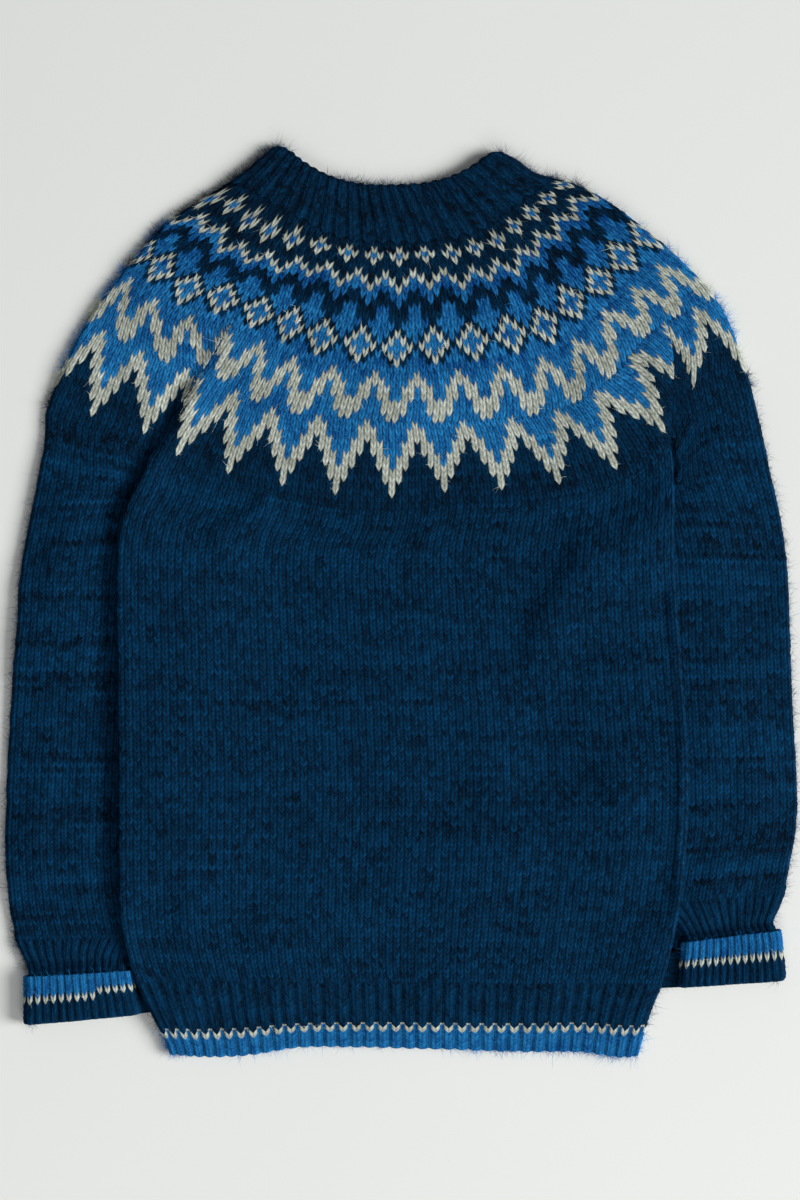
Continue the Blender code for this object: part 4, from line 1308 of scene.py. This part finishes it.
def make_fuzz(name, stretches, downward, material, slot, count, share_at_edge, highest, seed):
    """Loose hairs: each is a narrow ribbon that leaves the yarn, bends and ends in a point.

    With t from 0 to 1, a hair's middle is root + length (t direction + t squared bend). Its
    half width is width / 2 (1 - HAIR_TAPER t) as far as its middle and 0 at its tip, and it
    lies across the direction in the plan.
    """
    rng = np.random.default_rng(seed)
    roots, normals, yarn, at_edge = hair_places(stretches, downward, rng, share_at_edge, count,
                                                highest)
    turn = rng.uniform(0, 2 * np.pi, count)
    flat = np.stack([np.cos(turn), np.sin(turn), np.zeros(count)], axis=1)
    flat -= normals * (flat * normals).sum(axis=1, keepdims=True)
    rise = np.where(at_edge, rng.uniform(*EDGE_RISE, count), rng.uniform(*TOP_RISE, count))
    direction = flat + normals * rise[:, None]
    direction /= np.linalg.norm(direction, axis=1, keepdims=True)
    length = np.where(at_edge, rng.gamma(3.0, HAIR_LENGTH_EDGE / 3, count),
                      rng.gamma(4.0, HAIR_LENGTH / 4, count))
    length = np.minimum(length, LONGEST_HAIR)
    bend = rng.normal(0.0, HAIR_BEND, (count, 3))
    bend[:, 2] = -HAIR_DROOP - HAIR_DROOPS_MORE * np.abs(bend[:, 2]) * ~at_edge
    aside = np.stack([-direction[:, 1], direction[:, 0], np.zeros(count)], axis=1)
    aside /= np.linalg.norm(aside, axis=1, keepdims=True) + 1e-9
    width = HAIR_WIDTH * rng.uniform(*HAIR_WIDTHS, count)
    layers = []
    for share in (0.0, 0.5):
        middle = roots + length[:, None] * (share * direction + share**2 * bend)
        for sign in (-1, 1):
            layers.append(middle + sign * aside * (width * (1 - HAIR_TAPER * share) / 2)[:, None])
    layers.append(roots + length[:, None] * (direction + bend))
    points = np.stack(layers, axis=1)
    points[..., 2] = np.maximum(points[..., 2], HAIR_CLEAR)
    first = points.shape[1] * np.arange(count)[:, None]
    points = points.reshape(-1, 3)
    faces = (first + np.array([0, 3, 2, 0, 1, 3, 2, 3, 4])).reshape(-1, 3)
    maps = np.repeat(rng.uniform(0, MAP_REACH, (count, 2)), faces.size // count, axis=0)
    yarn[:, 2] = np.clip(yarn[:, 2] + rng.uniform(-HAIR_TONE, HAIR_TONE, count), 0, 1)
    yarn = np.repeat(yarn, len(faces) // count, axis=0)
    relief_and_painted_shade = np.ones(len(points))
    return mesh_object(name, points, faces, maps, yarn, relief_and_painted_shade, material)


# Materials


class Value:
    """A socket that gives a number or a colour; sums and products of numbers add Math nodes."""

    def __init__(self, paint, socket):
        self.paint = paint
        self.socket = socket

    def math(self, operation, first, second):
        """What a Math node makes of two values."""
        return self.paint.node("ShaderNodeMath", {"operation": operation}, {0: first, 1: second})

    def __add__(self, other):
        return self.math("ADD", self, other)

    __radd__ = __add__

    def __mul__(self, other):
        return self.math("MULTIPLY", self, other)

    __rmul__ = __mul__

    def __sub__(self, other):
        return self.math("SUBTRACT", self, other)

    def __rsub__(self, other):
        return self.math("SUBTRACT", other, self)


class Paint:
    """The node tree of one material."""

    def __init__(self, name):
        self.material = bpy.data.materials.new(name)
        self.material.use_nodes = True
        self.tree = self.material.node_tree
        self.shader = self.tree.nodes["Principled BSDF"]

    def feed(self, socket, value):
        """Link a value to a socket, or set the socket to a constant."""
        if isinstance(value, Value):
            self.tree.links.new(value.socket, socket)
        else:
            socket.default_value = value

    def node(self, kind, settings, inputs, output=0):
        """A node of a type with its settings, and its inputs as values or links."""
        node = self.tree.nodes.new(kind)
        for key, setting in settings.items():
            setattr(node, key, setting)
        for key, value in inputs.items():
            self.feed(node.inputs[key], value)
        return Value(self, node.outputs[output])

    def blend(self, share, first, second, how="MIX"):
        """Mix of two colours; the Mix node keeps them in its sockets 6 and 7."""
        settings = {"data_type": "RGBA", "blend_type": how}
        return self.node("ShaderNodeMix", settings, {0: share, 6: first, 7: second}, 2)

    def other(self, value, output):
        """Another output of the node that a value comes from."""
        return Value(self, value.socket.node.outputs[output])

    def noise(self, vector, scale, detail=2.0):
        """Smooth noise in space, about 0.5."""
        return self.node("ShaderNodeTexNoise", {}, {
            "Vector": vector, "Scale": scale, "Detail": detail})


def linear(red, green, blue):
    """A colour as read from a screen, 0 to 255, to the renderer's linear values."""
    screen = np.array([red, green, blue]) / 255
    value = np.where(screen < 0.04045, screen / 12.92, ((screen + 0.055) / 1.055) ** 2.4)
    return (*value.tolist(), 1.0)


NAVY_DARK = linear(6, 19, 32)
NAVY_LIGHT = linear(9, 72, 116)
ROYAL_DARK = linear(12, 70, 140)
ROYAL_LIGHT = linear(50, 157, 229)
CREAM_DARK = linear(166, 171, 156)
CREAM_LIGHT = linear(238, 246, 234)
# Fibres along a leg, in the map's stitches, and specks, a metre: how often they change
FIBRE_STRETCH = (9.0, 2.2, 1.0)
SPECK_SCALE = 900.0
FIBRE_TONE = 1.5
SPECK_TONE = 0.7
# Shade at the bottom of a groove
GROOVE_SHADE = 0.22
BUMP_STRENGTH = 0.6
FIBRE_HEIGHT = 0.0004
SPECK_SHARE = 0.6
WOOL_ROUGHNESS = 0.95
WOOL_GLOSS = 0.04
# How light the navy and the royal blue yarn are, as shares, in each material
PATTERNED_LIGHT = (0.8, 1.0)
NAVY_WOOL_LIGHT = (1.0, 1.0)
RIB_LIGHT = (0.92, 0.86)
FLOOR_DARK = linear(228, 230, 226)
FLOOR_LIGHT = linear(232, 234, 230)
FLOOR_ROUGHNESS = 0.9


def dimmed(colour, gain):
    """A colour at a share of its light."""
    return tuple(gain * part for part in colour[:3]) + (1.0,)


def wool_material(name, navy_gain, royal_gain):
    """Wool yarn: three colours by the yarn attribute, darker in the grooves by painted shade, with
    fine hairs.
    """
    paint = Paint(name)
    yarn = paint.node("ShaderNodeAttribute", {"attribute_name": "yarn"}, {}, 0)
    royal = paint.node("ShaderNodeSeparateColor", {}, {0: yarn}, 0)
    cream = paint.other(royal, 1)
    tone = paint.other(royal, 2)
    relief_and_painted_shade = paint.node("ShaderNodeAttribute", {"attribute_name": "relief_and_painted_shade"}, {}, 2)
    stitches = paint.node("ShaderNodeUVMap", {"uv_map": "stitches"}, {})
    place = paint.node("ShaderNodeTexCoord", {}, {}, 3)
    stretched = paint.node("ShaderNodeVectorMath", {"operation": "MULTIPLY"}, {
        0: stitches, 1: FIBRE_STRETCH})
    fibre = paint.noise(stretched, 1.0, 3.0)
    speck = paint.noise(place, SPECK_SCALE, 2.0)
    light = tone + FIBRE_TONE * (fibre - 0.5) + SPECK_TONE * (speck - 0.5)
    light = paint.node("ShaderNodeClamp", {}, {0: light})
    navy = paint.blend(light, NAVY_DARK, dimmed(NAVY_LIGHT, navy_gain))
    blue = paint.blend(light, ROYAL_DARK, dimmed(ROYAL_LIGHT, royal_gain))
    pale = paint.blend(light, CREAM_DARK, CREAM_LIGHT)
    colour = paint.blend(cream, paint.blend(royal, navy, blue), pale)
    # Painted shade: the colour is multiplied by a shade that is darkest at the bottom of a groove
    painted_groove_shade = GROOVE_SHADE + (1 - GROOVE_SHADE) * relief_and_painted_shade
    shade = paint.node("ShaderNodeCombineColor", {}, {0: painted_groove_shade, 1: painted_groove_shade, 2: painted_groove_shade})
    colour = paint.blend(1.0, colour, shade, "MULTIPLY")
    bump = paint.node("ShaderNodeBump", {}, {
        "Strength": BUMP_STRENGTH, "Distance": FIBRE_HEIGHT,
        "Height": fibre + SPECK_SHARE * speck})
    paint.feed(paint.shader.inputs["Base Color"], colour)
    paint.feed(paint.shader.inputs["Normal"], bump)
    paint.shader.inputs["Roughness"].default_value = WOOL_ROUGHNESS
    paint.shader.inputs["Specular IOR Level"].default_value = WOOL_GLOSS
    return paint.material


def floor_material():
    """Pale matt paper."""
    paint = Paint("pale_floor")
    place = paint.node("ShaderNodeTexCoord", {}, {}, 3)
    cloud = paint.noise(place, 3.0, 2.0)
    colour = paint.blend(cloud, FLOOR_DARK, FLOOR_LIGHT)
    paint.feed(paint.shader.inputs["Base Color"], colour)
    paint.shader.inputs["Roughness"].default_value = FLOOR_ROUGHNESS
    return paint.material


# Stage


FLOOR_REACH = 3.0
# The floor lies a little below the cloth, so that the two don't show through each other
FLOOR_DEPTH = 0.0002


def make_stage():
    """A square of plain floor."""
    mesh = bpy.data.meshes.new("floor")
    ways = ((-1, -1), (1, -1), (1, 1), (-1, 1))
    mesh.from_pydata([(x * FLOOR_REACH, y * FLOOR_REACH, 0) for x, y in ways], [], [(0, 1, 2, 3)])
    mesh.materials.append(floor_material())
    floor = bpy.data.objects.new("floor", mesh)
    floor.location.z = -FLOOR_DEPTH
    bpy.context.scene.collection.objects.link(floor)


FRAME_HEIGHT = PICTURE_SIZE[1] * PIXEL
CAMERA_LENS = 85.0
SENSOR_HEIGHT = 36.0
# The plane whose points lie where the picture shows them
SHARP_PLANE = 0.005


def make_camera():
    """Straight above the middle of the picture, so far up that the frame just holds it."""
    data = bpy.data.cameras.new("camera")
    data.lens = CAMERA_LENS
    data.sensor_fit = "VERTICAL"
    data.sensor_height = SENSOR_HEIGHT
    camera = bpy.data.objects.new("camera", data)
    middle = to_plan(np.array(PICTURE_SIZE) / 2)
    height = FRAME_HEIGHT * CAMERA_LENS / SENSOR_HEIGHT
    camera.location = (middle[0], middle[1], height + SHARP_PLANE)
    bpy.context.scene.collection.objects.link(camera)
    bpy.context.scene.camera = camera


# Lights: name, place, point that they face, size and power
LIGHTS = (
    ("key", (10.0, -1.2, 6.2), (0.0, 0.0, 0.0), 5.6, 1700.0),
    ("fill", (0.5, -2.8, 2.4), (0.0, -0.1, 0.0), 2.4, 44.0),
)
ROOM_COLOUR = (0.95, 0.97, 1.0, 1.0)
ROOM_STRENGTH = 0.19


def area_light(name, location, target, size, power):
    """A square lamp that faces a point."""
    data = bpy.data.lights.new(name, "AREA")
    data.size = size
    data.energy = power
    lamp = bpy.data.objects.new(name, data)
    lamp.location = location
    direction = np.array(target) - np.array(location)
    lamp.rotation_mode = "QUATERNION"
    lamp.rotation_quaternion = mathutils.Vector(direction).to_track_quat("-Z", "Y")
    bpy.context.scene.collection.objects.link(lamp)


def make_light():
    """A broad soft light from the right, a weaker one from beyond the hem, and a dim room."""
    for light in LIGHTS:
        area_light(*light)
    world = bpy.data.worlds.new("studio")
    world.use_nodes = True
    background = world.node_tree.nodes["Background"]
    background.inputs["Color"].default_value = ROOM_COLOUR
    background.inputs["Strength"].default_value = ROOM_STRENGTH
    bpy.context.scene.world = world
    bpy.context.scene.view_settings.view_transform = "Standard"


def main():
    """Materials, stage, camera and lights, the eight knitted pieces and their fuzz."""
    patterned = wool_material("patterned_wool", *PATTERNED_LIGHT)
    navy = wool_material("navy_wool", *NAVY_WOOL_LIGHT)
    rib = wool_material("rib_wool", *RIB_LIGHT)
    make_stage()
    make_camera()
    make_light()
    yoke, yoke_cloth = make_yoke(patterned)
    body, body_cloth = make_body(navy)
    left, left_cloth = make_sleeve("sleeve_left_knit", "sleeve_left", navy, LEFT_SLEEVE, 0,
                                   LEFT_SLEEVE_ROWS, LEFT_SLEEVE_SEED)
    right, right_cloth = make_sleeve("sleeve_right_knit", "sleeve_right", navy, RIGHT_SLEEVE, 2,
                                     RIGHT_SLEEVE_ROWS, RIGHT_SLEEVE_SEED)
    hem, hem_cloth = make_hem(rib)
    neckband, neck_cloth = make_neckband(rib)
    left_cuff, left_cuff_cloth = make_cuff("cuff_left_knit", "cuff_left", rib, LEFT_CUFF,
                                           LEFT_CUFF_SEED, LEFT_TUCK, LEFT_JOG)
    right_cuff, right_cuff_cloth = make_cuff("cuff_right_knit", "cuff_right", rib,
                                             swapped(RIGHT_CUFF), RIGHT_CUFF_SEED, RIGHT_TUCK)
    # Name, cloth, whether its rows run down, material, slot, hairs, share of them at the outline
    # and height below which those start
    fuzz = (
        ("yoke_fuzz", yoke_cloth, False, patterned, "patterned_wool", 32000, 0.07, MIDDLE_OF_FOLD),
        ("body_fuzz", body_cloth, True, navy, "navy_wool", 24000, 0.04, TOP_OF_FOLD),
        ("sleeve_left_fuzz", left_cloth, True, navy, "navy_wool", 10000, 0.15, TOP_OF_FOLD),
        ("sleeve_right_fuzz", right_cloth, True, navy, "navy_wool", 10000, 0.15, TOP_OF_FOLD),
        ("hem_fuzz", hem_cloth, True, rib, "rib_wool", 3000, 0.3, TOP_OF_FOLD),
        ("neckband_fuzz", neck_cloth, False, rib, "rib_wool", 3000, 0.3, TOP_OF_FOLD),
        ("cuff_left_fuzz", left_cuff_cloth, True, rib, "rib_wool", 2000, 0.15, MIDDLE_OF_FOLD),
        ("cuff_right_fuzz", right_cuff_cloth, True, rib, "rib_wool", 2000, 0.15, MIDDLE_OF_FOLD),
    )
    for index, row in enumerate(fuzz):
        make_fuzz(*row, FUZZ_SEED + index)


main()
